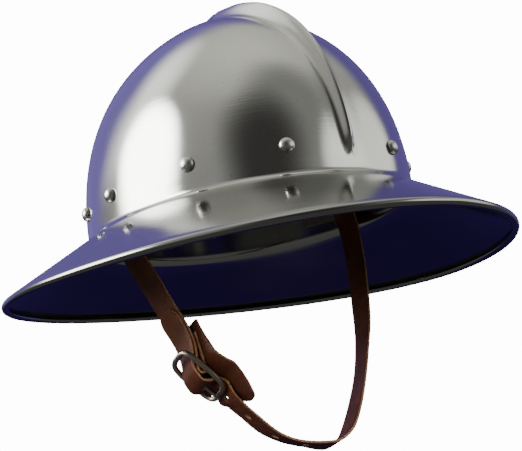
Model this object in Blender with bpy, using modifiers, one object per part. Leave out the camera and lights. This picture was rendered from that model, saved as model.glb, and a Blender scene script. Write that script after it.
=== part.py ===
"""Kettle hat: a one-piece steel crown, comb and brim, riveted, with a buckled leather chin strap.

Metres, +Z up. The hat faces -Y, and the wearer's right, where the buckle hangs, is -X.
Heights are first measured from the rim. The empty hat_frame then lowers everything, so that the
origin is at the inside of the crown's top, where a head carries the hat.
"""
import math

import bmesh
import bpy
from mathutils import Matrix, Vector

MM = 0.001

# Steel shell: brim, crown and comb
SHEET_THICKNESS = 1.6 * MM
RIM_LENGTH = 350.0 * MM
RIM_WIDTH = 301.4 * MM
RIM_SQUARENESS = 1.90
RIM_WIDEST_BEHIND_CENTRE = 4.4 * MM
RIM_FRONT_DROP = 5.6 * MM
RIM_SIDE_DROP = 3.2 * MM
RIM_ROLL_RADIUS = 2.5 * MM
RIM_ROLL_ANGLE = math.radians(232)
CROWN_LENGTH = 215.6 * MM
CROWN_WIDTH = 186.4 * MM
CROWN_SQUARENESS = 2.09
CROWN_BASE_HEIGHT = 33.1 * MM
CROWN_HEIGHT = 128.5 * MM
CORNER_RADIUS = 5.0 * MM
COMB_HEIGHT = 9.0 * MM
COMB_HALF_WIDTH = 9.0 * MM
COMB_FLANK_POWER = 1.6

# Rivets through the crown
RIVET_HEIGHT = 16.4 * MM
RIVET_HEAD_RADIUS = 4.4 * MM
RIVET_HEAD_HEIGHT = 3.6 * MM
RIVET_SHANK_RADIUS = 1.6 * MM
RIVET_TAIL_RADIUS = 3.2 * MM
RIVET_TAIL_HEIGHT = 1.2 * MM
CLEARANCE = 0.3 * MM
HOLE_CLEARANCE = 0.45 * MM
WALL_CLEARANCE = 0.65 * MM

# Leather strap, buckle and guard
STRAP_WIDTH = 19.0 * MM
STRAP_THICKNESS = 1.8 * MM
STRAP_LEAN_ANGLE = math.radians(15.75)
STRAP_FRONT = -7.3 * MM
STRAP_STEP = 3.0 * MM
BUCKLE_TWIST = 0.165
BUCKLE_TWIST_REACH = 28.0 * MM
HOLE_RADIUS = 2.2 * MM
HOLE_PITCH = 19.5 * MM
HOLE_COUNT = 5
TIP_LENGTH = 8.0 * MM
TIP_ROUNDING = 0.7
FOLD_LENGTH = 23.0 * MM
GUARD_THICKNESS = 1.8 * MM
BUCKLE_CENTRE_X = -64.0 * MM
BUCKLE_CENTRE_V = -61.1 * MM
BUCKLE_TILT_ANGLE = math.radians(40)
BUCKLE_HALF_LENGTH = 15.7 * MM
BUCKLE_RING_DROP = 1.0 * MM
BUCKLE_SIDE_ROOM = 0.5 * MM
BUCKLE_SQUARENESS = 4.0
BUCKLE_SQUEEZE = 0.8 * MM
BUCKLE_CROSSINGS = (-8.2 * MM, 11.0 * MM)
BUCKLE_CROSSING_REACH = 6.0 * MM
WIRE_RADIUS = 1.65 * MM
BAR_RADIUS = 1.3 * MM
PRONG_RADIUS = 0.9 * MM
PRONG_HOLE_DOWN = 7.3 * MM
PRONG_HOLE_OUT = 2.8 * MM
PRONG_OVERHANG = 1.7 * MM

# Plain hangers inside the crown, each held by two of the rivets
ANCHOR_THICKNESS = 1.5 * MM
ANCHOR_HEIGHT = 16.0 * MM
ANCHOR_MARGIN_ANGLE = math.radians(4.5)
STUD_RADIUS = 1.8 * MM
STUD_HEAD_RADIUS = 4.0 * MM
STUD_HEAD_HEIGHT = 1.2 * MM
STUD_FROM_STRAP_END = 6.5 * MM

# Crown outline from base to top: share of the base radius, share of the crown height
CROWN_HANDLES = ((1.0, 0.0), (1.02, 0.86), (0.15, 0.98), (0.0, 1.0))

# Comb crest from the base to the top: share of the crown height, share of the comb height
COMB_CREST = (
    (0.07, 0.00),
    (0.17, 0.54),
    (0.30, 0.60),
    (0.47, 0.70),
    (0.73, 0.94),
    (0.90, 1.00),
    (0.96, 0.92),
    (1.00, 0.70),
)

# Comb width: share of the crown height, share of the comb's half width
COMB_WIDTHS = (
    (0.0, 0.62),
    (0.3, 0.72),
    (0.7, 0.90),
    (1.0, 1.00),
)

# Mesh lines across one side of the comb: share of the comb's half width
COMB_STATIONS = (0.12, 0.32, 0.62, 1.0)

# Rivets from the front to the back on each side, in degrees round the crown
RIVET_ANGLES = (22.5, 56.5, 91.0, 114.0, 157.0)
ANCHOR_RIVET_ANGLES = (91.0, 114.0)

# Turns round the buckle's middle bar, in degrees: the fold, and the chin strap's bend over it
FOLD_TURN = (176.0, 364.0)
PRONG_BEND_TURN = (180.0, 215.0)

# Route of the strap's middle line, hand-placed in the strap's leaning plane: x, height v, in mm.
# The buckle strap hangs from the wearer's right, the chin strap goes on to the left.
BUCKLE_STRAP_ROUTE = (
    (-84.5, 55.0),
    (-84.4, 40.0),
    (-83.0, 26.0),
    (-80.0, 15.0),
    (-76.9, 5.0),
    (-73.5, -5.5),
    (-69.8, -18.7),
    (-66.8, -28.0),
    (-64.7, -36.0),
    (-63.9, -44.0),
    (-64.7, -51.5),
)
CHIN_STRAP_TIP_ROUTE = (
    (-71.5, -20.6),
    (-68.9, -28.7),
    (-66.8, -36.5),
    (-66.1, -44.0),
    (-67.0, -51.5),
    (-68.6, -56.8),
)
CHIN_STRAP_ROUTE = (
    (-66.2, -67.6),
    (-63.2, -68.6),
    (-60.7, -68.5),
    (-57.8, -67.9),
    (-54.7, -67.6),
    (-52.0, -68.8),
    (-49.9, -71.1),
    (-49.3, -73.6),
    (-48.6, -76.4),
    (-47.0, -80.0),
    (-42.6, -86.6),
    (-36.2, -94.2),
    (-30.8, -100.4),
    (-24.2, -105.9),
    (-14.4, -110.2),
    (0.0, -112.5),
    (14.0, -111.9),
    (26.2, -105.0),
    (35.8, -93.2),
    (44.0, -80.0),
    (51.2, -66.8),
    (58.6, -52.0),
    (66.4, -35.3),
    (73.4, -14.0),
    (79.0, 6.0),
    (83.0, 26.0),
    (84.4, 40.0),
    (84.5, 55.0),
)

# Rise of the strap's back edge over its front edge under the chin: x in mm, share of the width
CHIN_RISES = (
    (-50.0, 0.00),
    (-44.0, 0.42),
    (-36.0, 0.50),
    (-20.0, 0.46),
    (0.0, 0.32),
    (14.0, 0.12),
    (26.0, 0.00),
)

# Turn of the prong's eye round the middle bar, in degrees from the way up towards the outside
EYE_TURN = (-170.0, 85.0)

# Prong from its eye to the lower bar, in mm: down along the buckle, out from its plane
PRONG_ROUTE = (
    (2.5, 2.7),
    (7.0, 2.8),
    (12.0, 2.95),
    (16.6, 3.0),
)

# Guard flap between buckle and cheek, in mm: x, height v, front edge and back edge from the strap's front
GUARD_SECTIONS = (
    (-59.0, -31.0, -1.5, 20.5),
    (-59.0, -37.0, -3.0, 22.0),
    (-59.0, -44.0, -6.0, 25.0),
    (-58.9, -51.0, -9.5, 28.0),
    (-58.4, -57.0, -12.5, 30.0),
    (-54.4, -62.9, -15.0, 31.0),
    (-49.3, -67.0, -15.8, 29.5),
    (-46.1, -71.9, -15.6, 26.0),
    (-44.0, -76.9, -14.0, 21.0),
    (-41.8, -80.1, -10.5, 17.0),
    (-40.2, -82.5, -5.0, 12.0),
    (-39.6, -83.2, -1.0, 8.0),
)

# Mesh density
SIDE_COLUMNS = 12
ROLL_STEPS = 6
BRIM_STEPS = 4
CORNER_STEPS = 3
CROWN_STEPS = 13
RIVET_SIDES = 12
HOLE_SIDES = 12

HEAD_SEAT_HEIGHT = CROWN_BASE_HEIGHT + CROWN_HEIGHT - SHEET_THICKNESS

COLLECTION = bpy.data.collections.new("kettle_hat")
CUTTERS = bpy.data.collections.new("cutters")


def clear_scene():
    for old in list(bpy.data.objects):
        bpy.data.objects.remove(old, do_unlink=True)
    for group in (COLLECTION, CUTTERS):
        bpy.context.scene.collection.children.link(group)


def make_material(name, colour, roughness, metallic):
    """Principled material of one colour."""
    material = bpy.data.materials.new(name)
    material.use_nodes = True
    shader = material.node_tree.nodes["Principled BSDF"]
    shader.inputs["Base Color"].default_value = (*colour, 1.0)
    shader.inputs["Roughness"].default_value = roughness
    shader.inputs["Metallic"].default_value = metallic
    return material


def add_object(name, data, material, frame):
    """Link a mesh or curve as one sub-part, parented to the hat's frame."""
    part = bpy.data.objects.new(name, data)
    COLLECTION.objects.link(part)
    part.parent = frame
    data.materials.clear()
    data.materials.append(material)
    return part


def mesh_from_bmesh(name, shape):
    bmesh.ops.recalc_face_normals(shape, faces=shape.faces)
    mesh = bpy.data.meshes.new(name)
    shape.to_mesh(mesh)
    shape.free()
    return mesh


def smooth(mesh, angle=40):
    mesh.shade_smooth()
    mesh.set_sharp_from_angle(angle=math.radians(angle))


def interpolate(rows, value):
    """Value of a two-column table, straight between its rows."""
    if value <= rows[0][0]:
        return rows[0][1]
    for (low, start), (high, end) in zip(rows, rows[1:]):
        if value <= high:
            return start + (end - start) * (value - low) / (high - low)
    return rows[-1][1]


def bezier(handles, t):
    """Point and derivative of a plane cubic curve."""
    weights = ((1 - t) ** 3, 3 * t * (1 - t) ** 2, 3 * t * t * (1 - t), t ** 3)
    slopes = (-3 * (1 - t) ** 2, 3 * (1 - t) * (1 - 3 * t), 3 * t * (2 - 3 * t), 3 * t * t)
    point = [sum(w * h[k] for w, h in zip(weights, handles)) for k in (0, 1)]
    slope = [sum(s * h[k] for s, h in zip(slopes, handles)) for k in (0, 1)]
    return point, slope


def spline(points, steps=12):
    """Smooth curve through plane points, as a dense list."""
    ends = [2 * points[0] - points[1]], [2 * points[-1] - points[-2]]
    padded = ends[0] + list(points) + ends[1]
    dense = []
    for a, b, c, d in zip(padded, padded[1:], padded[2:], padded[3:]):
        for k in range(steps):
            t = k / steps
            bend = (2 * a - 5 * b + 4 * c - d) * t * t + (3 * b - 3 * c + d - a) * t ** 3
            dense.append(b + 0.5 * ((c - a) * t + bend))
    dense.append(points[-1])
    return dense


def resample(dense, step):
    """Points at even distances along a dense list."""
    lengths = [0.0]
    for a, b in zip(dense, dense[1:]):
        lengths.append(lengths[-1] + (b - a).length)
    count = max(2, round(lengths[-1] / step))
    points = []
    k = 0
    for i in range(count + 1):
        target = lengths[-1] * i / count
        while k < len(dense) - 2 and lengths[k + 1] < target:
            k += 1
        share = (target - lengths[k]) / (lengths[k + 1] - lengths[k])
        points.append(dense[k].lerp(dense[k + 1], min(1.0, share)))
    return points


def superellipse(angle, half_width, half_length, squareness):
    """Point of a plan outline. Angle 0 is the front, positive to the wearer's left."""
    s = math.sin(angle)
    c = math.cos(angle)
    x = half_width * math.copysign(abs(s) ** (2 / squareness), s)
    y = -half_length * math.copysign(abs(c) ** (2 / squareness), c)
    return Vector((x, y, 0.0))


def comb_reach(height_share):
    """Half width of the comb at a share of the crown's height."""
    return COMB_HALF_WIDTH * interpolate(COMB_WIDTHS, height_share)


def comb_lift(height_share, x):
    """How far the comb stands over the dome at a distance x from the middle plane."""
    share = abs(x) / comb_reach(height_share)
    if share >= 1:
        return 0.0
    flank = (0.5 + 0.5 * math.cos(math.pi * share)) ** COMB_FLANK_POWER
    return COMB_HEIGHT * interpolate(COMB_CREST, height_share) * flank


def crown_place(t, angle):
    """Point and outward normal of the bare dome at outline parameter t."""
    (radius, height), (radius_slope, height_slope) = bezier(CROWN_HANDLES, t)
    half_width = CROWN_WIDTH / 2
    half_length = CROWN_LENGTH / 2
    unit = superellipse(angle, half_width, half_length, CROWN_SQUARENESS)
    point = Vector((unit.x * radius, unit.y * radius, CROWN_BASE_HEIGHT + CROWN_HEIGHT * height))
    power = CROWN_SQUARENESS - 1
    across = math.copysign((abs(unit.x) / half_width) ** power, unit.x) / half_width
    along = math.copysign((abs(unit.y) / half_length) ** power, unit.y) / half_length
    up = -radius_slope / (height_slope * CROWN_HEIGHT)
    return point, Vector((across, along, up)).normalized()


def crown_point(t, angle, depth=0.0):
    """Point of the crown with its comb, depth below its outer skin."""
    point, normal = crown_place(t, angle)
    height_share = (point.z - CROWN_BASE_HEIGHT) / CROWN_HEIGHT
    return point + normal * (comb_lift(height_share, point.x) - depth)


def crown_parameter(height):
    """Outline parameter at a height over the crown's base."""
    low = 0.0
    high = 1.0
    for _ in range(40):
        middle = (low + high) / 2
        if bezier(CROWN_HANDLES, middle)[0][1] * CROWN_HEIGHT < height:
            low = middle
        else:
            high = middle
    return low


def crown_ring_parameters(start):
    """Outline parameters of the crown's rings, at even distances up the outline."""
    reach = CROWN_LENGTH / 2
    outline = []
    for k in range(401):
        radius, height = bezier(CROWN_HANDLES, start + (1 - start) * k / 400)[0]
        outline.append(Vector((radius * reach, height * CROWN_HEIGHT)))
    walked = [0.0]
    for a, b in zip(outline, outline[1:]):
        walked.append(walked[-1] + (b - a).length)
    parameters = []
    for k in range(1, CROWN_STEPS):
        target = walked[-1] * k / CROWN_STEPS
        index = next(i for i, distance in enumerate(walked) if distance >= target)
        parameters.append(start + (1 - start) * index / 400)
    return parameters


def column_angles(radius_share, height_share):
    """Angles of the mesh columns of one ring, close together on the comb."""
    reach = CROWN_WIDTH / 2 * max(radius_share, 0.001)
    quarter = [0.0]
    for number, station in enumerate(COMB_STATIONS, 1):
        share = min(1.0, comb_reach(height_share) * station / reach)
        spread = number * math.pi / 2 / (len(COMB_STATIONS) + SIDE_COLUMNS)
        quarter.append(min(math.asin(share ** (CROWN_SQUARENESS / 2)), spread))
    last = quarter[-1]
    for k in range(1, SIDE_COLUMNS + 1):
        quarter.append(last + (math.pi / 2 - last) * k / SIDE_COLUMNS)
    half = quarter + [math.pi - angle for angle in reversed(quarter[:-1])]
    return half + [-angle for angle in reversed(half[1:-1])]


def rim_point(angle):
    """Middle of the rolled edge."""
    half_length = RIM_LENGTH / 2 - RIM_ROLL_RADIUS
    shift = RIM_WIDEST_BEHIND_CENTRE * (1 if math.cos(angle) > 0 else -1)
    half_width = RIM_WIDTH / 2 - RIM_ROLL_RADIUS
    point = superellipse(angle, half_width, half_length + shift, RIM_SQUARENESS)
    point.y += RIM_WIDEST_BEHIND_CENTRE
    point.z = -RIM_FRONT_DROP * math.cos(angle) + RIM_SIDE_DROP * math.cos(2 * angle)
    return point


def brim_profile(angle):
    """Outer and inner skin from the turned-under edge to the crown's wall, at one angle."""
    edge = rim_point(angle)
    root = superellipse(angle, CROWN_WIDTH / 2, CROWN_LENGTH / 2, CROWN_SQUARENESS)
    root.z = CROWN_BASE_HEIGHT
    outward = Vector((edge.x - root.x, edge.y - root.y, 0.0))
    reach = outward.length
    outward.normalize()
    up = Vector((0.0, 0.0, 1.0))
    drop = root.z - edge.z
    slope = math.atan2(drop, reach) + math.asin(RIM_ROLL_RADIUS / math.hypot(drop, reach))
    outer = []
    inner = []
    for k in range(ROLL_STEPS + 1):
        turn = slope + RIM_ROLL_ANGLE * (1 - k / ROLL_STEPS)
        ray = outward * math.sin(turn) + up * math.cos(turn)
        outer.append(edge + ray * RIM_ROLL_RADIUS)
        inner.append(edge + ray * (RIM_ROLL_RADIUS - SHEET_THICKNESS))
    brim_normal = outward * math.sin(slope) + up * math.cos(slope)
    tangent = CORNER_RADIUS / math.tan((math.pi / 2 + slope) / 2)
    centre = root + outward * CORNER_RADIUS + up * tangent
    start = outer[-1]
    end = centre - brim_normal * CORNER_RADIUS
    for k in range(1, BRIM_STEPS):
        point = start.lerp(end, k / BRIM_STEPS)
        outer.append(point)
        inner.append(point - brim_normal * SHEET_THICKNESS)
    for k in range(CORNER_STEPS + 1):
        turn = slope + (math.pi / 2 - slope) * k / CORNER_STEPS
        ray = outward * math.sin(turn) + up * math.cos(turn)
        outer.append(centre - ray * CORNER_RADIUS)
        inner.append(centre - ray * (CORNER_RADIUS + SHEET_THICKNESS))
    return outer, inner, tangent


def shell_rings():
    """Rings of the outer and inner skin from the rolled edge to the top of the crown."""
    base_angles = column_angles(1.0, 0.0)
    columns = [brim_profile(angle) for angle in base_angles]
    outer = [list(ring) for ring in zip(*(column[0] for column in columns))]
    inner = [list(ring) for ring in zip(*(column[1] for column in columns))]
    wall_start = crown_parameter(max(column[2] for column in columns))
    for t in crown_ring_parameters(wall_start):
        angles = column_angles(*bezier(CROWN_HANDLES, t)[0])
        outer.append([crown_point(t, angle) for angle in angles])
        inner.append([crown_point(t, angle, SHEET_THICKNESS) for angle in angles])
    return outer, inner


def loft_skin(shape, rings, top):
    """Faces between rings, closed by a fan to the top point."""
    loops = [[shape.verts.new(point) for point in ring] for ring in rings]
    for low, high in zip(loops, loops[1:]):
        for k in range(len(low)):
            following = (k + 1) % len(low)
            shape.faces.new((low[k], low[following], high[following], high[k]))
    peak = shape.verts.new(top)
    last = loops[-1]
    for k in range(len(last)):
        shape.faces.new((last[k], last[(k + 1) % len(last)], peak))
    return loops[0]


def add_cutter(name, radius, depth, place, direction):
    """Round cutter along a direction, kept out of the model."""
    shape = bmesh.new()
    turn = direction.to_track_quat("Z", "Y").to_matrix().to_4x4()
    bmesh.ops.create_cone(shape, cap_ends=True, segments=HOLE_SIDES, radius1=radius,
                          radius2=radius, depth=depth, matrix=Matrix.Translation(place) @ turn)
    cutter = bpy.data.objects.new(name, mesh_from_bmesh(name, shape))
    CUTTERS.objects.link(cutter)
    cutter.hide_render = True
    cutter.display_type = "WIRE"
    return cutter


def cut(part, cutter, frame):
    cutter.parent = frame
    modifier = part.modifiers.new(cutter.name, "BOOLEAN")
    modifier.operation = "DIFFERENCE"
    modifier.solver = "EXACT"
    modifier.object = cutter


def joined_cutter(name, cutters):
    """One cutter object from several that don't touch."""
    shape = bmesh.new()
    for cutter in cutters:
        shape.from_mesh(cutter.data)
        bpy.data.objects.remove(cutter, do_unlink=True)
    joined = bpy.data.objects.new(name, mesh_from_bmesh(name, shape))
    CUTTERS.objects.link(joined)
    joined.hide_render = True
    joined.display_type = "WIRE"
    return joined


def rivet_places():
    """Number, point on the outer skin and outward normal of each rivet."""
    t = crown_parameter(RIVET_HEIGHT)
    right = [-angle for angle in RIVET_ANGLES]
    left = list(reversed(RIVET_ANGLES))
    for number, angle in enumerate(right + left, 1):
        point, normal = crown_place(t, math.radians(angle))
        yield number, abs(angle), point, normal


def build_shell(material, frame):
    """Crown, comb and brim of one sheet, with the edge rolled under and the rivet holes cut."""
    outer, inner = shell_rings()
    shape = bmesh.new()
    outer_edge = loft_skin(shape, outer, crown_point(1.0, 0.0))
    inner_edge = loft_skin(shape, inner, crown_point(1.0, 0.0, SHEET_THICKNESS))
    for k in range(len(outer_edge)):
        following = (k + 1) % len(outer_edge)
        shape.faces.new((outer_edge[k], inner_edge[k], inner_edge[following], outer_edge[following]))
    mesh = mesh_from_bmesh("hat_shell", shape)
    smooth(mesh)
    shell = add_object("hat_shell", mesh, material, frame)
    radius = RIVET_SHANK_RADIUS + HOLE_CLEARANCE
    cutters = [add_cutter("hole", radius, 6 * SHEET_THICKNESS, point, normal)
               for _, _, point, normal in rivet_places()]
    cut(shell, joined_cutter("rivet_holes", cutters), frame)


def build_rivets(material, frame):
    """Domed rivets, each with its shank through the wall and a flattened tail inside."""
    for number, angle, point, normal in rivet_places():
        grip = SHEET_THICKNESS + WALL_CLEARANCE
        if angle in ANCHOR_RIVET_ANGLES:
            grip += ANCHOR_THICKNESS + HOLE_CLEARANCE
        profile = [(0.0, RIVET_HEAD_HEIGHT)]
        for k in range(1, 5):
            turn = math.pi / 2 * k / 4
            height = RIVET_HEAD_HEIGHT * math.cos(turn) if k < 4 else CLEARANCE
            profile.append((RIVET_HEAD_RADIUS * math.sin(turn), max(height, CLEARANCE)))
        profile.append((RIVET_SHANK_RADIUS, CLEARANCE))
        profile.append((RIVET_SHANK_RADIUS, -grip))
        profile.append((RIVET_TAIL_RADIUS, -grip))
        profile.append((RIVET_TAIL_RADIUS * 0.8, -grip - RIVET_TAIL_HEIGHT))
        profile.append((0.0, -grip - RIVET_TAIL_HEIGHT))
        mesh = bpy.data.meshes.new("rivet")
        edges = [(k, k + 1) for k in range(len(profile) - 1)]
        mesh.from_pydata([(x, 0.0, z) for x, z in profile], edges, [])
        rivet = add_object(f"rivet_{number:02d}", mesh, material, frame)
        turned = rivet.modifiers.new("turned", "SCREW")
        turned.steps = RIVET_SIDES
        turned.render_steps = RIVET_SIDES
        turned.use_merge_vertices = True
        turned.merge_threshold = 0.00001
        turned.use_smooth_shade = True
        rivet.location = point
        rivet.rotation_euler = normal.to_track_quat("Z", "Y").to_euler()


def buckle_turn(v):
    """Slight turn of the buckle's stretch towards the front, as a slope in x over the width."""
    return BUCKLE_TWIST * math.exp(-(((v - BUCKLE_CENTRE_V) / BUCKLE_TWIST_REACH) ** 2))


def strap_place(x, v, w):
    """Point of the leaning strap plane: x across, v up, w back from the strap's front edge."""
    turn = buckle_turn(v)
    v += interpolate(CHIN_RISES, x / MM) * w
    lean = Vector((0.0, math.sin(STRAP_LEAN_ANGLE), math.cos(STRAP_LEAN_ANGLE)))
    back = Vector((0.0, math.cos(STRAP_LEAN_ANGLE), -math.sin(STRAP_LEAN_ANGLE)))
    return Vector((x + turn * w, STRAP_FRONT, 0.0)) + lean * v + back * w


def arc(radius, start, end, steps):
    """Points round the buckle's middle bar, angles in degrees from +x towards +v."""
    points = []
    for k in range(steps + 1):
        turn = math.radians(start + (end - start) * k / steps)
        points.append(Vector((BUCKLE_CENTRE_X + radius * math.cos(turn),
                              BUCKLE_CENTRE_V + radius * math.sin(turn))))
    return points


def route(rows):
    return [Vector((x * MM, v * MM)) for x, v in rows]


def buckle_strap_line():
    """Down from the hanger, round the middle bar and a short way back up inside."""
    radius = BAR_RADIUS + HOLE_CLEARANCE + STRAP_THICKNESS / 2
    inside = BUCKLE_CENTRE_X + radius
    line = route(BUCKLE_STRAP_ROUTE) + arc(radius, *FOLD_TURN, 6)
    line += [Vector((inside, BUCKLE_CENTRE_V + FOLD_LENGTH * share)) for share in (0.26, 0.61, 1.0)]
    return line


def chin_strap_line():
    """From the free tip over the middle bar, under the chin and up to the left hanger."""
    radius = BAR_RADIUS + 3.3 * CLEARANCE + 1.5 * STRAP_THICKNESS
    return route(CHIN_STRAP_TIP_ROUTE) + arc(radius, *PRONG_BEND_TURN, 2) + route(CHIN_STRAP_ROUTE)


def band(name, line, thickness, edges, material, frame):
    """Leather band: a strip between a front and a back edge, given thickness on both sides."""
    shape = bmesh.new()
    rows = []
    for k, point in enumerate(line):
        front, back = edges(k)
        rows.append([shape.verts.new(strap_place(point.x, point.y, w)) for w in (front, back)])
    for a, b in zip(rows, rows[1:]):
        shape.faces.new((a[0], a[1], b[1], b[0]))
    mesh = mesh_from_bmesh(name, shape)
    leather = add_object(name, mesh, material, frame)
    solid = leather.modifiers.new("thickness", "SOLIDIFY")
    solid.thickness = thickness
    solid.offset = 0.0
    solid.use_even_offset = True
    return leather


def line_place(line, distance):
    """Point and unit direction at a distance along a plane line."""
    for a, b in zip(line, line[1:]):
        step = (b - a).length
        if distance <= step:
            return a.lerp(b, distance / step), (b - a) / step
        distance -= step
    return line[-1], (line[-1] - line[-2]).normalized()


def strap_hole(name, point, direction, radius):
    """Cutter square through a band at its middle."""
    place = strap_place(point.x, point.y, STRAP_WIDTH / 2)
    ahead = point + direction * MM
    along = strap_place(ahead.x, ahead.y, STRAP_WIDTH / 2) - place
    across = strap_place(point.x, point.y, STRAP_WIDTH) - place
    return add_cutter(name, radius, 4 * STRAP_THICKNESS, place, along.cross(across).normalized())


def nearest_distance(line, point):
    """Distance along a line of the place nearest to a point."""
    best = (1.0, 0.0)
    walked = 0.0
    for a, b in zip(line, line[1:]):
        step = b - a
        share = min(1.0, max(0.0, (point - a).dot(step) / step.length_squared))
        best = min(best, ((a + step * share - point).length, walked + step.length * share))
        walked += step.length
    return best[1]


def build_buckle_strap(material, frame):
    line = resample(spline(buckle_strap_line(), 8), STRAP_STEP / 2)
    strap = band("buckle_strap", line, STRAP_THICKNESS, lambda k: (0.0, STRAP_WIDTH), material, frame)
    stud = strap_hole("stud_hole", *line_place(line, STUD_FROM_STRAP_END), STUD_RADIUS + HOLE_CLEARANCE)
    cut(strap, stud, frame)
    shape = bmesh.new()
    bmesh.ops.create_cube(shape, size=1.0)
    slot_reach = 2 * (BAR_RADIUS + 2 * CLEARANCE + STRAP_THICKNESS) + PRONG_RADIUS
    size = Matrix.Diagonal((slot_reach, 4 * PRONG_RADIUS, slot_reach, 1.0))
    place = strap_place(BUCKLE_CENTRE_X, BUCKLE_CENTRE_V, STRAP_WIDTH / 2)
    turn = Matrix.Rotation(-STRAP_LEAN_ANGLE, 4, "X")
    bmesh.ops.transform(shape, matrix=Matrix.Translation(place) @ turn @ size, verts=shape.verts)
    slot = bpy.data.objects.new("prong_slot", mesh_from_bmesh("prong_slot", shape))
    CUTTERS.objects.link(slot)
    slot.hide_render = True
    slot.display_type = "WIRE"
    cut(strap, slot, frame)


def build_chin_strap(material, frame):
    """Long strap with a rounded tip, punched holes and a hole for the left stud."""
    line = resample(spline(chin_strap_line(), 8), STRAP_STEP)
    walked = [0.0]
    for a, b in zip(line, line[1:]):
        walked.append(walked[-1] + (b - a).length)
    crossings = [nearest_distance(line, buckle_line_place(down, 0.0)) for down in BUCKLE_CROSSINGS]

    def edges(k):
        short = max(0.0, 1 - walked[k] / TIP_LENGTH)
        inset = STRAP_WIDTH / 2 * (1 - math.sqrt(1 - short ** 2)) * TIP_ROUNDING
        for crossing in crossings:
            away = (walked[k] - crossing) / BUCKLE_CROSSING_REACH
            inset += BUCKLE_SQUEEZE * math.exp(-away ** 2)
        return inset, STRAP_WIDTH - inset

    strap = band("chin_strap", line, STRAP_THICKNESS, edges, material, frame)
    first = nearest_distance(line, buckle_line_place(PRONG_HOLE_DOWN, PRONG_HOLE_OUT))
    places = [first + number * HOLE_PITCH for number in range(HOLE_COUNT)]
    cutters = [strap_hole("hole", *line_place(line, place), HOLE_RADIUS) for place in places]
    stud = line_place(line, walked[-1] - STUD_FROM_STRAP_END)
    cutters.append(strap_hole("hole", *stud, STUD_RADIUS + HOLE_CLEARANCE))
    cut(strap, joined_cutter("strap_holes", cutters), frame)


def build_guard(material, frame):
    """Spoon-shaped flap that keeps the buckle off the cheek."""
    rows = spline([Vector(row) * MM for row in GUARD_SECTIONS], 2)
    line = [Vector((row[0], row[1])) for row in rows]
    band("buckle_guard", line, GUARD_THICKNESS, lambda k: (rows[k][2], rows[k][3]), material, frame)


def buckle_line_place(down, out):
    """Place in the strap's plane: down along the buckle, out from it."""
    x = BUCKLE_CENTRE_X + down * math.sin(BUCKLE_TILT_ANGLE) - out * math.cos(BUCKLE_TILT_ANGLE)
    v = BUCKLE_CENTRE_V - down * math.cos(BUCKLE_TILT_ANGLE) - out * math.sin(BUCKLE_TILT_ANGLE)
    return Vector((x, v))


def buckle_place(down, out, w):
    """Point of the buckle: down along its plane, out from it, w back from the strap's front edge."""
    flat = buckle_line_place(down, out)
    place = strap_place(flat.x, flat.y, 0.0)
    place.x += BUCKLE_TWIST * w
    back = Vector((0.0, math.cos(STRAP_LEAN_ANGLE), -math.sin(STRAP_LEAN_ANGLE)))
    return place + back * w


def wire_mesh(name, points, radius, closed):
    """Round wire through the points, as a welded mesh."""
    data = bpy.data.curves.new(name, "CURVE")
    data.dimensions = "3D"
    data.bevel_depth = radius
    data.bevel_resolution = 2
    data.use_fill_caps = True
    path = data.splines.new("POLY")
    path.points.add(len(points) - 1)
    for knot, point in zip(path.points, points):
        knot.co = (*point, 1.0)
    path.use_cyclic_u = closed
    holder = bpy.data.objects.new(name, data)
    COLLECTION.objects.link(holder)
    depsgraph = bpy.context.evaluated_depsgraph_get()
    mesh = bpy.data.meshes.new_from_object(holder.evaluated_get(depsgraph))
    bpy.data.objects.remove(holder, do_unlink=True)
    shape = bmesh.new()
    shape.from_mesh(mesh)
    bmesh.ops.remove_doubles(shape, verts=shape.verts, dist=0.00002)
    return mesh_from_bmesh(name, shape)


def build_buckle_frame(material, frame):
    """Oval ring with a middle bar, one solid."""
    half_width = STRAP_WIDTH / 2 + BUCKLE_SIDE_ROOM + WIRE_RADIUS
    middle = STRAP_WIDTH / 2
    ring = []
    for k in range(28):
        turn = 2 * math.pi * k / 28
        spot = superellipse(turn, half_width, BUCKLE_HALF_LENGTH, BUCKLE_SQUARENESS)
        ring.append(buckle_place(spot.y + BUCKLE_RING_DROP, 0.0, middle + spot.x))
    buckle = add_object("buckle_frame", wire_mesh("buckle_frame", ring, WIRE_RADIUS, True), material, frame)
    ends = [buckle_place(0.0, 0.0, middle + side * half_width) for side in (-1, 1)]
    bar = bpy.data.objects.new("middle_bar", wire_mesh("middle_bar", ends, BAR_RADIUS, False))
    CUTTERS.objects.link(bar)
    bar.parent = frame
    bar.hide_render = True
    bar.display_type = "WIRE"
    union = buckle.modifiers.new("middle_bar", "BOOLEAN")
    union.operation = "UNION"
    union.solver = "EXACT"
    union.object = bar


def build_prong(material, frame):
    """Wire prong: an eye round the middle bar, then out through the strap and on to the lower bar."""
    eye = BAR_RADIUS + HOLE_CLEARANCE + PRONG_RADIUS
    spots = []
    for k in range(13):
        turn = math.radians(EYE_TURN[0] + (EYE_TURN[1] - EYE_TURN[0]) * k / 12)
        spots.append((-eye * math.cos(turn), eye * math.sin(turn)))
    lift = WIRE_RADIUS + CLEARANCE + PRONG_RADIUS
    spots += [(down * MM, out * MM) for down, out in PRONG_ROUTE]
    spots += [(BUCKLE_RING_DROP + BUCKLE_HALF_LENGTH + PRONG_OVERHANG, lift)]
    points = [buckle_place(down, out, STRAP_WIDTH / 2) for down, out in spots]
    add_object("buckle_prong", wire_mesh("buckle_prong", points, PRONG_RADIUS, False), material, frame)


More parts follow.
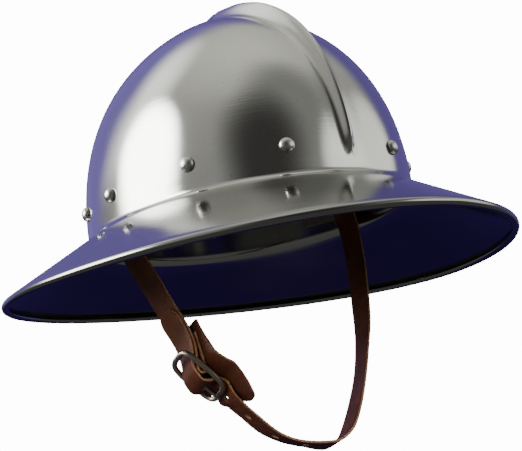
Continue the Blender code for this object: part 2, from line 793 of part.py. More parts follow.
def build_anchor(side, name, strap_line, material, frame):
    """Hanger plate inside the wall, with the stud that holds the strap's end."""
    first, last = (math.radians(angle) for angle in ANCHOR_RIVET_ANGLES)
    outer_depth = SHEET_THICKNESS + WALL_CLEARANCE
    levels = [RIVET_HEIGHT + ANCHOR_HEIGHT * (k / 2 - 0.5) for k in range(3)]
    shape = bmesh.new()
    skins = []
    for depth in (outer_depth, outer_depth + ANCHOR_THICKNESS):
        rows = []
        for level in levels:
            t = crown_parameter(level)
            spread = last - first + 2 * ANCHOR_MARGIN_ANGLE
            angles = [side * (first - ANCHOR_MARGIN_ANGLE + spread * k / 8) for k in range(9)]
            rows.append([shape.verts.new(crown_point(t, angle, depth)) for angle in angles])
        skins.append(rows)
    for rows in skins:
        for low, high in zip(rows, rows[1:]):
            for k in range(8):
                shape.faces.new((low[k], low[k + 1], high[k + 1], high[k]))
    near, far = skins
    border = [(0, k) for k in range(8)] + [(k, 8) for k in range(2)]
    border += [(2, 8 - k) for k in range(8)] + [(2 - k, 0) for k in range(2)]
    for (a, b), (c, d) in zip(border, border[1:] + border[:1]):
        shape.faces.new((near[a][b], near[c][d], far[c][d], far[a][b]))
    plate = add_object(name, mesh_from_bmesh(name, shape), material, frame)
    t = crown_parameter(RIVET_HEIGHT)
    cutters = []
    for angle in (first, last):
        point, normal = crown_place(t, side * angle)
        cutters.append(add_cutter("hole", RIVET_SHANK_RADIUS + HOLE_CLEARANCE, 10 * SHEET_THICKNESS, point, normal))
    cut(plate, joined_cutter(f"{name}_holes", cutters), frame)
    if side > 0:
        strap_line = list(reversed(strap_line))
    spot, _ = line_place(strap_line, STUD_FROM_STRAP_END)
    centre = strap_place(spot.x, spot.y, STRAP_WIDTH / 2)
    inward = Vector((-side, 0.0, 0.0))
    reach = STRAP_THICKNESS / 2 + CLEARANCE
    across = 1 - (2 * centre.y / CROWN_LENGTH) ** CROWN_SQUARENESS
    wall = CROWN_WIDTH / 2 * across ** (1 / CROWN_SQUARENESS) - outer_depth
    root = abs(centre.x) - wall + ANCHOR_THICKNESS / 2
    pieces = (
        ("shank", STUD_RADIUS, root, reach + 0.5 * STUD_HEAD_HEIGHT),
        ("head", STUD_HEAD_RADIUS, reach, reach + STUD_HEAD_HEIGHT),
    )
    for label, radius, start, end in pieces:
        place = centre + inward * (start + end) / 2
        stud = add_cutter(f"{name}_{label}", radius, end - start, place, inward)
        stud.parent = frame
        union = plate.modifiers.new(label, "BOOLEAN")
        union.operation = "UNION"
        union.solver = "EXACT"
        union.object = stud


def main():
    clear_scene()
    frame = bpy.data.objects.new("hat_frame", None)
    COLLECTION.objects.link(frame)
    frame.location = (0.0, 0.0, -HEAD_SEAT_HEIGHT)
    steel = make_material("polished_steel", (0.62, 0.62, 0.60), 0.18, 1.0)
    rivet_steel = make_material("rivet_steel", (0.50, 0.50, 0.48), 0.3, 1.0)
    buckle_steel = make_material("buckle_steel", (0.45, 0.44, 0.42), 0.3, 1.0)
    leather = make_material("brown_leather", (0.13, 0.045, 0.025), 0.55, 0.0)
    dark_leather = make_material("dark_leather", (0.06, 0.02, 0.012), 0.6, 0.0)
    build_shell(steel, frame)
    build_rivets(rivet_steel, frame)
    build_buckle_strap(leather, frame)
    build_chin_strap(leather, frame)
    build_guard(dark_leather, frame)
    build_buckle_frame(buckle_steel, frame)
    build_prong(buckle_steel, frame)
    build_anchor(-1, "strap_anchor_right", resample(spline(buckle_strap_line(), 8), STRAP_STEP / 2),
                 buckle_steel, frame)
    build_anchor(1, "strap_anchor_left", resample(spline(chin_strap_line(), 8), STRAP_STEP),
                 buckle_steel, frame)
    bpy.context.view_layer.update()


main()
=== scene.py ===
"""Looks of the kettle hat: polished steel shell, domed rivets, leather straps and wire buckle.

The shapes repeat the solids' own sizes, in metres, on a finer mesh with rounded edges. Heights are
measured from the rim. HEAD_SEAT_HEIGHT lowers them, so that the head's seat is the origin.
"""
import math

import bmesh
import bpy
from mathutils import Matrix, Vector

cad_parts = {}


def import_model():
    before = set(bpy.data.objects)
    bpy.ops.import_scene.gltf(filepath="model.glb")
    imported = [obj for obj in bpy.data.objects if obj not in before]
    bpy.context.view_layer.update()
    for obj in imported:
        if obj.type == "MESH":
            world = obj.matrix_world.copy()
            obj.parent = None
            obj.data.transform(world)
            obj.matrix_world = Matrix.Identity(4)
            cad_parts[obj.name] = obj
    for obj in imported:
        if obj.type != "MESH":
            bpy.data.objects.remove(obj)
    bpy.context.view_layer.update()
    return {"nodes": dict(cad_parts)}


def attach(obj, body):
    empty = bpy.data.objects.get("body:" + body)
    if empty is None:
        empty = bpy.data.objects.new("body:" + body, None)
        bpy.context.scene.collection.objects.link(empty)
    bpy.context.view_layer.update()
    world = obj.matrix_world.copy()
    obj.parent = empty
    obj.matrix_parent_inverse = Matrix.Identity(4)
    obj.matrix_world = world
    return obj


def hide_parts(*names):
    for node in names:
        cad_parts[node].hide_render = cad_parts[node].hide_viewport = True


MM = 0.001

# Steel shell: brim, crown and comb
SHEET_THICKNESS = 1.6 * MM
RIM_LENGTH = 350.0 * MM
RIM_WIDTH = 301.4 * MM
RIM_SQUARENESS = 1.90
RIM_WIDEST_BEHIND_CENTRE = 4.4 * MM
RIM_FRONT_DROP = 5.6 * MM
RIM_SIDE_DROP = 3.2 * MM
RIM_ROLL_RADIUS = 2.5 * MM
RIM_ROLL_ANGLE = math.radians(232)
CROWN_LENGTH = 215.6 * MM
CROWN_WIDTH = 186.4 * MM
CROWN_SQUARENESS = 2.09
CROWN_BASE_HEIGHT = 33.1 * MM
CROWN_HEIGHT = 128.5 * MM
CORNER_RADIUS = 5.0 * MM
COMB_HEIGHT = 9.0 * MM
COMB_HALF_WIDTH = 9.0 * MM
COMB_FLANK_POWER = 1.6

# Rivets through the crown
RIVET_HEIGHT = 16.4 * MM
RIVET_HEAD_RADIUS = 4.4 * MM
RIVET_HEAD_HEIGHT = 3.6 * MM
RIVET_SHANK_RADIUS = 1.6 * MM
RIVET_TAIL_RADIUS = 3.2 * MM
RIVET_TAIL_HEIGHT = 1.2 * MM
RIVET_TAIL_TAPER = 0.8
RIVET_EDGE_HEIGHT = 0.5 * MM
RIVET_FOOT_HEIGHT = 0.12 * MM
RIVET_FOOT_INSET = 0.15 * MM
RIVET_SEAT_HEIGHT = 0.02 * MM
CLEARANCE = 0.3 * MM
HOLE_CLEARANCE = 0.45 * MM
WALL_CLEARANCE = 0.65 * MM

# Leather strap, buckle and guard
STRAP_WIDTH = 19.0 * MM
STRAP_THICKNESS = 1.8 * MM
STRAP_LEAN_ANGLE = math.radians(15.75)
STRAP_FRONT = -7.3 * MM
STRAP_STEP = 1.6 * MM
EDGE_RADIUS = 0.5 * MM
FOLD_SHARES = (0.26, 0.61, 1.0)
BEND_ROOM = 3.3 * CLEARANCE
BUCKLE_TWIST = 0.165
BUCKLE_TWIST_REACH = 28.0 * MM
HOLE_RADIUS = 2.2 * MM
HOLE_PITCH = 19.5 * MM
HOLE_COUNT = 5
TIP_LENGTH = 8.0 * MM
TIP_ROUNDING = 0.7
FOLD_LENGTH = 23.0 * MM
GUARD_THICKNESS = 1.8 * MM
BUCKLE_CENTRE_X = -64.0 * MM
BUCKLE_CENTRE_V = -61.1 * MM
BUCKLE_TILT_ANGLE = math.radians(40)
BUCKLE_HALF_LENGTH = 15.7 * MM
BUCKLE_RING_DROP = 1.0 * MM
BUCKLE_SIDE_ROOM = 0.5 * MM
BUCKLE_SQUARENESS = 4.0
BUCKLE_SQUEEZE = 0.8 * MM
BUCKLE_CROSSINGS = (-8.2 * MM, 11.0 * MM)
BUCKLE_CROSSING_REACH = 6.0 * MM
WIRE_RADIUS = 1.65 * MM
BAR_RADIUS = 1.3 * MM
PRONG_RADIUS = 0.9 * MM
PRONG_HOLE_DOWN = 7.3 * MM
PRONG_HOLE_OUT = 2.8 * MM
PRONG_OVERHANG = 1.7 * MM

# Plain hangers inside the crown, each held by two of the rivets, and their studs through the straps
ANCHOR_THICKNESS = 1.5 * MM
STUD_RADIUS = 1.8 * MM
STUD_FROM_STRAP_END = 6.5 * MM

# Crown outline from base to top: share of the base radius, share of the crown height
CROWN_HANDLES = ((1.0, 0.0), (1.02, 0.86), (0.15, 0.98), (0.0, 1.0))

# Comb crest from the base to the top: share of the crown height, share of the comb height
COMB_CREST = (
    (0.07, 0.00), (0.17, 0.54), (0.30, 0.60), (0.47, 0.70),
    (0.73, 0.94), (0.90, 1.00), (0.96, 0.92), (1.00, 0.70),
)

# Comb width: share of the crown height, share of the comb's half width
COMB_WIDTHS = ((0.0, 0.62), (0.3, 0.72), (0.7, 0.90), (1.0, 1.00))

# Mesh lines across one side of the comb: share of the comb's half width
COMB_STATIONS = (0.06, 0.13, 0.22, 0.33, 0.46, 0.6, 0.78, 1.0)

# Rivets from the front to the back on each side, in degrees round the crown
RIVET_ANGLES = (22.5, 56.5, 91.0, 114.0, 157.0)
ANCHOR_RIVET_ANGLES = (91.0, 114.0)

# Turns round the buckle's middle bar, in degrees: the fold, and the chin strap's bend over it
FOLD_TURN = (176.0, 364.0)
PRONG_BEND_TURN = (180.0, 215.0)

# Route of the strap's middle line in the strap's leaning plane: x, height v, in mm.
# The buckle strap hangs from the wearer's right, the chin strap goes on to the left.
BUCKLE_STRAP_ROUTE = (
    (-84.5, 55.0),
    (-84.4, 40.0),
    (-83.0, 26.0),
    (-80.0, 15.0),
    (-76.9, 5.0),
    (-73.5, -5.5),
    (-69.8, -18.7),
    (-66.8, -28.0),
    (-64.7, -36.0),
    (-63.9, -44.0),
    (-64.7, -51.5),
)
CHIN_STRAP_TIP_ROUTE = (
    (-71.5, -20.6),
    (-68.9, -28.7),
    (-66.8, -36.5),
    (-66.1, -44.0),
    (-67.0, -51.5),
    (-68.6, -56.8),
)
CHIN_STRAP_ROUTE = (
    (-66.2, -67.6),
    (-63.2, -68.6),
    (-60.7, -68.5),
    (-57.8, -67.9),
    (-54.7, -67.6),
    (-52.0, -68.8),
    (-49.9, -71.1),
    (-49.3, -73.6),
    (-48.6, -76.4),
    (-47.0, -80.0),
    (-42.6, -86.6),
    (-36.2, -94.2),
    (-30.8, -100.4),
    (-24.2, -105.9),
    (-14.4, -110.2),
    (0.0, -112.5),
    (14.0, -111.9),
    (26.2, -105.0),
    (35.8, -93.2),
    (44.0, -80.0),
    (51.2, -66.8),
    (58.6, -52.0),
    (66.4, -35.3),
    (73.4, -14.0),
    (79.0, 6.0),
    (83.0, 26.0),
    (84.4, 40.0),
    (84.5, 55.0),
)

# Rise of the strap's back edge over its front edge under the chin: x in mm, share of the width
CHIN_RISES = (
    (-50.0, 0.00),
    (-44.0, 0.42),
    (-36.0, 0.50),
    (-20.0, 0.46),
    (0.0, 0.32),
    (14.0, 0.12),
    (26.0, 0.00),
)

# Turn of the prong's eye round the middle bar, in degrees from the way up towards the outside
EYE_TURN = (-170.0, 85.0)

# Prong from its eye to the lower bar, in mm: down along the buckle, out from its plane
PRONG_ROUTE = ((2.5, 2.7), (7.0, 2.8), (12.0, 2.95), (16.6, 3.0))

# Guard flap between buckle and cheek, in mm: x, height v, front edge and back edge from the strap's front
GUARD_SECTIONS = (
    (-59.0, -31.0, -1.5, 20.5),
    (-59.0, -37.0, -3.0, 22.0),
    (-59.0, -44.0, -6.0, 25.0),
    (-58.9, -51.0, -9.5, 28.0),
    (-58.4, -57.0, -12.5, 30.0),
    (-54.4, -62.9, -15.0, 31.0),
    (-49.3, -67.0, -15.8, 29.5),
    (-46.1, -71.9, -15.6, 26.0),
    (-44.0, -76.9, -14.0, 21.0),
    (-41.8, -80.1, -10.5, 17.0),
    (-40.2, -82.5, -5.0, 12.0),
    (-39.6, -83.2, -1.0, 8.0),
)

# Mesh density of the steel shell and its rivets
SIDE_COLUMNS = 34
ROLL_STEPS = 22
BRIM_STEPS = 14
CORNER_STEPS = 8
CROWN_STEPS = 52
OUTLINE_STEPS = 400
HALVINGS = 40
LEAST_RADIUS_SHARE = 0.001
RIVET_SIDES = 40
RIVET_DOME_STEPS = 14

# Mesh density of the leather: steps of curves and arcs, points round a band's outline
STRAP_CURVE_STEPS = 8
GUARD_CURVE_STEPS = 6
FOLD_ARC_STEPS = 6
BEND_ARC_STEPS = 2
FOLD_STEP = STRAP_STEP * 0.7
EDGE_CORNER_POINTS = 4
EDGE_CORNER_DEGREES = 30
BAND_FACE_STEPS = 8
HOLE_SIDES = 28

# Mesh density of the buckle's wire
RING_STEPS = 96
BAR_STEPS = 8
WIRE_SIDES = 20
EYE_STEPS = 12
PRONG_CURVE_STEPS = 5
PRONG_SIDES = 16
WIRE_END_SHARE = 0.5

# Angles in degrees over which an edge is shown sharp
STEEL_CREASE = 60
RIVET_CREASE = 50
LEATHER_CREASE = 35

# Camera of the photograph, round the middle of the crown's base, and the image that it fills
IMAGE_WIDTH = 522
SENSOR_WIDTH = 36.0
FOCAL_PIXELS = 1636.1
CAMERA_AZIMUTH = math.radians(-34.944)
CAMERA_ELEVATION = math.radians(-12.099)
CAMERA_ROLL = math.radians(-8.861)
CAMERA_DISTANCE = 0.9962
CAMERA_SHIFT_X = 11.83 / IMAGE_WIDTH
CAMERA_SHIFT_Y = -5.17 / IMAGE_WIDTH
VIEW_REACH = 50.0

# Pale floor, far below the hat
FLOOR_HEIGHT = -2.6
FLOOR_REACH = 40.0
FLOOR_COLOUR = (0.85, 0.85, 0.85)
FLOOR_ROUGHNESS = 0.9

# Light: the background that is seen, the fill on matt surfaces and the floor's own glow
WHITE = (1.0, 1.0, 1.0, 1.0)
SEEN_STRENGTH = 14.0
FLOOR_GLOW = 1.3
FILL_STRENGTH = 0.7

# Softboxes for matt surfaces: name, place, width, height, power
SOFTBOX_AIM = (0.0, 0.0, -0.1)
SOFTBOXES = (
    ("left_box", (-1.5, -1.0, 0.25), 0.7, 0.9, 38.0),
    ("front_box", (0.35, -1.7, 0.5), 0.35, 1.0, 22.0),
    ("top_box", (0.1, -0.2, 1.7), 1.2, 1.2, 45.0),
)

# Studio in mirrored light from straight down to straight up: share of the way, colour
STUDIO_HEIGHTS = (
    (0.00, (0.09, 0.09, 0.087)),
    (0.46, (0.09, 0.09, 0.087)),
    (0.56, (0.30, 0.30, 0.29)),
    (0.86, (0.50, 0.50, 0.46)),
    (1.00, (0.85, 0.85, 0.78)),
)

# Soft panels in mirrored light, in degrees: azimuth from the front, positive to the wearer's left,
# elevation, full inside this angle, gone outside this angle, colour. A later row covers an earlier one.
STUDIO_PANELS = (
    (-158, 44, 10, 30, (1.9, 1.9, 1.84)),
    (169, 27, 19, 38, (0.24, 0.19, 0.57)),
    (124, 15, 24, 44, (0.14, 0.105, 0.35)),
    (2, 41, 12, 39, (0.26, 0.26, 0.245)),
    (-122, 24, 13, 26, (14.0, 14.0, 13.6)),
    (-30, 22, 9, 40, (0.045, 0.044, 0.042)),
    (38, 12, 12, 25, (1.5, 1.5, 1.42)),
    (70, 16, 10, 23, (1.3, 1.3, 1.22)),
    (0, -90, 78, 89, (0.09, 0.09, 0.087)),
    (150, -28, 28, 44, (0.018, 0.010, 0.065)),
)

# Steels: colour, colour of the smears, roughness, depth of the dents, strength of the scratches
SHELL_STEEL = ((0.64, 0.64, 0.62), (0.57, 0.57, 0.55), 0.12, 0.0008, 0.7)
RIVET_STEEL = ((0.62, 0.62, 0.59), (0.5, 0.5, 0.47), 0.36, 0.0002, 0.3)
WIRE_STEEL = ((0.62, 0.55, 0.46), (0.40, 0.34, 0.28), 0.42, 0.0003, 0.3)

# Leathers: colour, darker colour of the clouds, roughness
STRAP_LEATHER = ((0.070, 0.020, 0.0075), (0.036, 0.0095, 0.0035), 0.5)
FLAP_LEATHER = ((0.055, 0.017, 0.008), (0.03, 0.009, 0.004), 0.55)

# Cut leather edges: colour, darker colour between the fibres
STRAP_CUT_EDGE = ((0.20, 0.115, 0.055), (0.10, 0.047, 0.022))
FLAP_CUT_EDGE = ((0.16, 0.08, 0.042), (0.08, 0.034, 0.018))

# Painted shade: the brim takes a darker colour than the crown, to dim the light it mirrors: share of its
# tone, and the heights between which it changes
BRIM_PAINTED_SHADE = 0.6
BRIM_SHADE_LEVELS = (-0.134, -0.124)

# Noises of the steel: scale, detail, roughness, stretch
SMEAR_NOISE = (22.0, 4.0)
SPECK_NOISE = (700.0, 2.0)
DENT_NOISE = (16.0, 1.0)
SCRATCH_NOISE = (60.0, 3.0, 0.6, (1.0, 1.0, 14.0))

# Noises of the leather, likewise, and its grain
CLOUD_NOISE = (45.0, 5.0, 0.6)
PORE_NOISE = (1500.0, 2.0)
FIBRE_NOISE = (900.0, 3.0)
EDGE_CLOUD_NOISE = (70.0, 3.0)
GRAIN_SCALE = 900.0

# Part of a noise's range over which it goes from nothing to full
SMEAR_RANGE = (0.35, 0.7)
DULLING_RANGE = (0.3, 0.75)
SPECK_RANGE = (0.66, 0.78)
CLOUD_RANGE = (0.3, 0.7)
FIBRE_RANGE = (0.35, 0.65)
EDGE_CLOUD_RANGE = (0.4, 0.8)

# How far the marks go: shares of tone and roughness, strengths and depths of the relief
SPECK_TONE = 0.45
SPECK_SHARE = 0.5
EDGE_CLOUD_SHARE = 0.5
STEEL_ROUGHNESS_SHARES = (0.75, 1.45)
LEATHER_ROUGHNESS_SHARES = (1.15, 0.85)
SCRATCH_DEPTH = 0.00004
GRAIN_STRENGTH = 0.6
GRAIN_DEPTH = 0.00012
PORE_STRENGTH = 0.4
PORE_DEPTH = 0.0001
FIBRE_STRENGTH = 0.5
FIBRE_DEPTH = 0.0002
LEATHER_SPECULAR = 0.2
CUT_EDGE_ROUGHNESS = 0.7

HEAD_SEAT_HEIGHT = CROWN_BASE_HEIGHT + CROWN_HEIGHT - SHEET_THICKNESS

# Unit directions of the strap's leaning plane: up along it, and back over the strap's width
STRAP_UP = Vector((0.0, math.sin(STRAP_LEAN_ANGLE), math.cos(STRAP_LEAN_ANGLE)))
STRAP_BACK = Vector((0.0, math.cos(STRAP_LEAN_ANGLE), -math.sin(STRAP_LEAN_ANGLE)))


def link(item):
    """Put an object in the scene."""
    bpy.context.scene.collection.objects.link(item)


def mesh_from_bmesh(name, shape):
    """Mesh of a finished shape, its faces turned outwards."""
    bmesh.ops.recalc_face_normals(shape, faces=shape.faces)
    mesh = bpy.data.meshes.new(name)
    shape.to_mesh(mesh)
    shape.free()
    return mesh


def smooth(mesh, angle):
    """Smooth shading, with edges over an angle kept sharp."""
    mesh.shade_smooth()
    mesh.set_sharp_from_angle(angle=math.radians(angle))


def interpolate(rows, value):
    """Value of a two-column table, straight between its rows."""
    if value <= rows[0][0]:
        return rows[0][1]
    for (low, start), (high, end) in zip(rows, rows[1:]):
        if value <= high:
            return start + (end - start) * (value - low) / (high - low)
    return rows[-1][1]


def bezier(handles, t):
    """Point and derivative of a plane cubic curve."""
    weights = ((1 - t) ** 3, 3 * t * (1 - t) ** 2, 3 * t * t * (1 - t), t ** 3)
    slopes = (-3 * (1 - t) ** 2, 3 * (1 - t) * (1 - 3 * t), 3 * t * (2 - 3 * t), 3 * t * t)
    point = [sum(w * h[k] for w, h in zip(weights, handles)) for k in (0, 1)]
    slope = [sum(s * h[k] for s, h in zip(slopes, handles)) for k in (0, 1)]
    return point, slope


def spline(points, steps):
    """Smooth curve through plane points, as a dense list."""
    ends = [2 * points[0] - points[1]], [2 * points[-1] - points[-2]]
    padded = ends[0] + list(points) + ends[1]
    dense = []
    for a, b, c, d in zip(padded, padded[1:], padded[2:], padded[3:]):
        for k in range(steps):
            t = k / steps
            bend = (2 * a - 5 * b + 4 * c - d) * t * t + (3 * b - 3 * c + d - a) * t ** 3
            dense.append(b + 0.5 * ((c - a) * t + bend))
    dense.append(points[-1])
    return dense


def walked_lengths(points):
    """Distance walked at each of a list of points."""
    lengths = [0.0]
    for a, b in zip(points, points[1:]):
        lengths.append(lengths[-1] + (b - a).length)
    return lengths


def resample(dense, step):
    """Points at even distances along a dense list."""
    lengths = walked_lengths(dense)
    count = max(2, round(lengths[-1] / step))
    points = []
    k = 0
    for i in range(count + 1):
        target = lengths[-1] * i / count
        while k < len(dense) - 2 and lengths[k + 1] < target:
            k += 1
        share = (target - lengths[k]) / (lengths[k + 1] - lengths[k])
        points.append(dense[k].lerp(dense[k + 1], min(1.0, share)))
    return points


def superellipse(angle, half_width, half_length, squareness):
    """Point of a plan outline. Angle 0 is the front, positive to the wearer's left."""
    s = math.sin(angle)
    c = math.cos(angle)
    x = half_width * math.copysign(abs(s) ** (2 / squareness), s)
    y = -half_length * math.copysign(abs(c) ** (2 / squareness), c)
    return Vector((x, y, 0.0))


def comb_reach(height_share):
    """Half width of the comb at a share of the crown's height."""
    return COMB_HALF_WIDTH * interpolate(COMB_WIDTHS, height_share)


def comb_lift(height_share, x):
    """How far the comb stands over the dome at a distance x from the middle plane."""
    share = abs(x) / comb_reach(height_share)
    if share >= 1:
        return 0.0
    flank = (0.5 + 0.5 * math.cos(math.pi * share)) ** COMB_FLANK_POWER
    return COMB_HEIGHT * interpolate(COMB_CREST, height_share) * flank


def crown_place(t, angle):
    """Point and outward normal of the bare dome at outline parameter t."""
    (radius, height), (radius_slope, height_slope) = bezier(CROWN_HANDLES, t)
    half_width = CROWN_WIDTH / 2
    half_length = CROWN_LENGTH / 2
    unit = superellipse(angle, half_width, half_length, CROWN_SQUARENESS)
    point = Vector((unit.x * radius, unit.y * radius, CROWN_BASE_HEIGHT + CROWN_HEIGHT * height))
    power = CROWN_SQUARENESS - 1
    across = math.copysign((abs(unit.x) / half_width) ** power, unit.x) / half_width
    along = math.copysign((abs(unit.y) / half_length) ** power, unit.y) / half_length
    up = -radius_slope / (height_slope * CROWN_HEIGHT)
    return point, Vector((across, along, up)).normalized()


def crown_point(t, angle, depth=0.0):
    """Point of the crown with its comb, depth below its outer skin."""
    point, normal = crown_place(t, angle)
    height_share = (point.z - CROWN_BASE_HEIGHT) / CROWN_HEIGHT
    return point + normal * (comb_lift(height_share, point.x) - depth)


def crown_parameter(height):
    """Outline parameter at a height over the crown's base."""
    low = 0.0
    high = 1.0
    for _ in range(HALVINGS):
        middle = (low + high) / 2
        if bezier(CROWN_HANDLES, middle)[0][1] * CROWN_HEIGHT < height:
            low = middle
        else:
            high = middle
    return low


def crown_ring_parameters(start):
    """Outline parameters of the crown's rings, at even distances up the outline."""
    reach = CROWN_LENGTH / 2
    outline = []
    for k in range(OUTLINE_STEPS + 1):
        radius, height = bezier(CROWN_HANDLES, start + (1 - start) * k / OUTLINE_STEPS)[0]
        outline.append(Vector((radius * reach, height * CROWN_HEIGHT)))
    walked = walked_lengths(outline)
    parameters = []
    for k in range(1, CROWN_STEPS):
        target = walked[-1] * k / CROWN_STEPS
        index = next(i for i, distance in enumerate(walked) if distance >= target)
        parameters.append(start + (1 - start) * index / OUTLINE_STEPS)
    return parameters


def column_angles(radius_share, height_share):
    """Angles of the mesh columns of one ring, close together on the comb."""
    reach = CROWN_WIDTH / 2 * max(radius_share, LEAST_RADIUS_SHARE)
    quarter = [0.0]
    for number, station in enumerate(COMB_STATIONS, 1):
        share = min(1.0, comb_reach(height_share) * station / reach)
        even = number * math.pi / 2 / (len(COMB_STATIONS) + SIDE_COLUMNS)
        quarter.append(min(math.asin(share ** (CROWN_SQUARENESS / 2)), even))
    last = quarter[-1]
    for k in range(1, SIDE_COLUMNS + 1):
        quarter.append(last + (math.pi / 2 - last) * k / SIDE_COLUMNS)
    half = quarter + [math.pi - angle for angle in reversed(quarter[:-1])]
    return half + [-angle for angle in reversed(half[1:-1])]


def rim_point(angle):
    """Middle of the rolled edge."""
    half_length = RIM_LENGTH / 2 - RIM_ROLL_RADIUS
    shift = RIM_WIDEST_BEHIND_CENTRE * (1 if math.cos(angle) > 0 else -1)
    half_width = RIM_WIDTH / 2 - RIM_ROLL_RADIUS
    point = superellipse(angle, half_width, half_length + shift, RIM_SQUARENESS)
    point.y += RIM_WIDEST_BEHIND_CENTRE
    point.z = -RIM_FRONT_DROP * math.cos(angle) + RIM_SIDE_DROP * math.cos(2 * angle)
    return point


def brim_profile(angle):
    """Outer and inner skin from the turned-under edge to the crown's wall, at one angle."""
    edge = rim_point(angle)
    root = superellipse(angle, CROWN_WIDTH / 2, CROWN_LENGTH / 2, CROWN_SQUARENESS)
    root.z = CROWN_BASE_HEIGHT
    outward = Vector((edge.x - root.x, edge.y - root.y, 0.0))
    reach = outward.length
    outward.normalize()
    up = Vector((0.0, 0.0, 1.0))
    drop = root.z - edge.z
    slope = math.atan2(drop, reach) + math.asin(RIM_ROLL_RADIUS / math.hypot(drop, reach))
    outer = []
    inner = []
    for k in range(ROLL_STEPS + 1):
        turn = slope + RIM_ROLL_ANGLE * (1 - k / ROLL_STEPS)
        ray = outward * math.sin(turn) + up * math.cos(turn)
        outer.append(edge + ray * RIM_ROLL_RADIUS)
        inner.append(edge + ray * (RIM_ROLL_RADIUS - SHEET_THICKNESS))
    brim_normal = outward * math.sin(slope) + up * math.cos(slope)
    tangent = CORNER_RADIUS / math.tan((math.pi / 2 + slope) / 2)
    centre = root + outward * CORNER_RADIUS + up * tangent
    start = outer[-1]
    end = centre - brim_normal * CORNER_RADIUS
    for k in range(1, BRIM_STEPS):
        point = start.lerp(end, k / BRIM_STEPS)
        outer.append(point)
        inner.append(point - brim_normal * SHEET_THICKNESS)
    for k in range(CORNER_STEPS + 1):
        turn = slope + (math.pi / 2 - slope) * k / CORNER_STEPS
        ray = outward * math.sin(turn) + up * math.cos(turn)
        outer.append(centre - ray * CORNER_RADIUS)
        inner.append(centre - ray * (CORNER_RADIUS + SHEET_THICKNESS))
    return outer, inner, tangent


def shell_rings():
    """Rings of the outer and inner skin from the rolled edge to the top of the crown."""
    base_angles = column_angles(1.0, 0.0)
    columns = [brim_profile(angle) for angle in base_angles]
    outer = [list(ring) for ring in zip(*(column[0] for column in columns))]
    inner = [list(ring) for ring in zip(*(column[1] for column in columns))]
    wall_start = crown_parameter(max(column[2] for column in columns))
    for t in crown_ring_parameters(wall_start):
        angles = column_angles(*bezier(CROWN_HANDLES, t)[0])
        outer.append([crown_point(t, angle) for angle in angles])
        inner.append([crown_point(t, angle, SHEET_THICKNESS) for angle in angles])
    return outer, inner


def bridge(shape, a, b):
    """Faces between two rings of as many points."""
    following = list(range(1, len(a))) + [0]
    return [shape.faces.new((a[k], a[n], b[n], b[k])) for k, n in enumerate(following)]


def loft_skin(shape, rings, top):
    """Faces between rings, closed by a fan to the top point."""
    loops = [[shape.verts.new(point) for point in ring] for ring in rings]
    for low, high in zip(loops, loops[1:]):
        bridge(shape, low, high)
    peak = shape.verts.new(top)
    last = loops[-1]
    for k in range(len(last)):
        shape.faces.new((last[k], last[(k + 1) % len(last)], peak))
    return loops[0]


def rivet_places():
    """Number, point on the outer skin and outward normal of each rivet."""
    t = crown_parameter(RIVET_HEIGHT)
    right = [-angle for angle in RIVET_ANGLES]
    left = list(reversed(RIVET_ANGLES))
    for number, angle in enumerate(right + left, 1):
        point, normal = crown_place(t, math.radians(angle))
        yield number, abs(angle), point, normal


def buckle_turn(v):
    """Slight turn of the buckle's stretch towards the front, as a slope in x over the width."""
    return BUCKLE_TWIST * math.exp(-(((v - BUCKLE_CENTRE_V) / BUCKLE_TWIST_REACH) ** 2))


def strap_place(x, v, w):
    """Point of the leaning strap plane: x across, v up, w back from the strap's front edge."""
    turn = buckle_turn(v)
    v += interpolate(CHIN_RISES, x / MM) * w
    return Vector((x + turn * w, STRAP_FRONT, 0.0)) + STRAP_UP * v + STRAP_BACK * w


def arc(radius, start, end, steps):
    """Points round the buckle's middle bar, angles in degrees from +x towards +v."""
    points = []
    for k in range(steps + 1):
        turn = math.radians(start + (end - start) * k / steps)
        points.append(Vector((BUCKLE_CENTRE_X + radius * math.cos(turn),
                              BUCKLE_CENTRE_V + radius * math.sin(turn))))
    return points


def route(rows):
    """Plane points of a route's table."""
    return [Vector((x * MM, v * MM)) for x, v in rows]


def buckle_strap_line():
    """Down from the hanger, round the middle bar and a short way back up inside."""
    radius = BAR_RADIUS + HOLE_CLEARANCE + STRAP_THICKNESS / 2
    inside = BUCKLE_CENTRE_X + radius
    line = route(BUCKLE_STRAP_ROUTE) + arc(radius, *FOLD_TURN, FOLD_ARC_STEPS)
    line += [Vector((inside, BUCKLE_CENTRE_V + FOLD_LENGTH * share)) for share in FOLD_SHARES]
    return line


def chin_strap_line():
    """From the free tip over the middle bar, under the chin and up to the left hanger."""
    radius = BAR_RADIUS + BEND_ROOM + 1.5 * STRAP_THICKNESS
    bend = arc(radius, *PRONG_BEND_TURN, BEND_ARC_STEPS)
    return route(CHIN_STRAP_TIP_ROUTE) + bend + route(CHIN_STRAP_ROUTE)


def line_place(line, distance):
    """Point and unit direction at a distance along a plane line."""
    for a, b in zip(line, line[1:]):
        step = (b - a).length
        if distance <= step:
            return a.lerp(b, distance / step), (b - a) / step
        distance -= step
    return line[-1], (line[-1] - line[-2]).normalized()


def strap_hole(point, onwards, radius):
    """Round cutter square through a strap at its middle, where the strap goes onwards."""
    place = strap_place(point.x, point.y, STRAP_WIDTH / 2)
    ahead = point + onwards * MM
    along = strap_place(ahead.x, ahead.y, STRAP_WIDTH / 2) - place
    across = strap_place(point.x, point.y, STRAP_WIDTH) - place
    turn = along.cross(across).normalized().to_track_quat("Z", "Y").to_matrix().to_4x4()
    shape = bmesh.new()
    bmesh.ops.create_cone(shape, cap_ends=True, segments=HOLE_SIDES, radius1=radius, radius2=radius,
                          depth=4 * STRAP_THICKNESS, matrix=Matrix.Translation(place) @ turn)
    return mesh_from_bmesh("hole", shape)


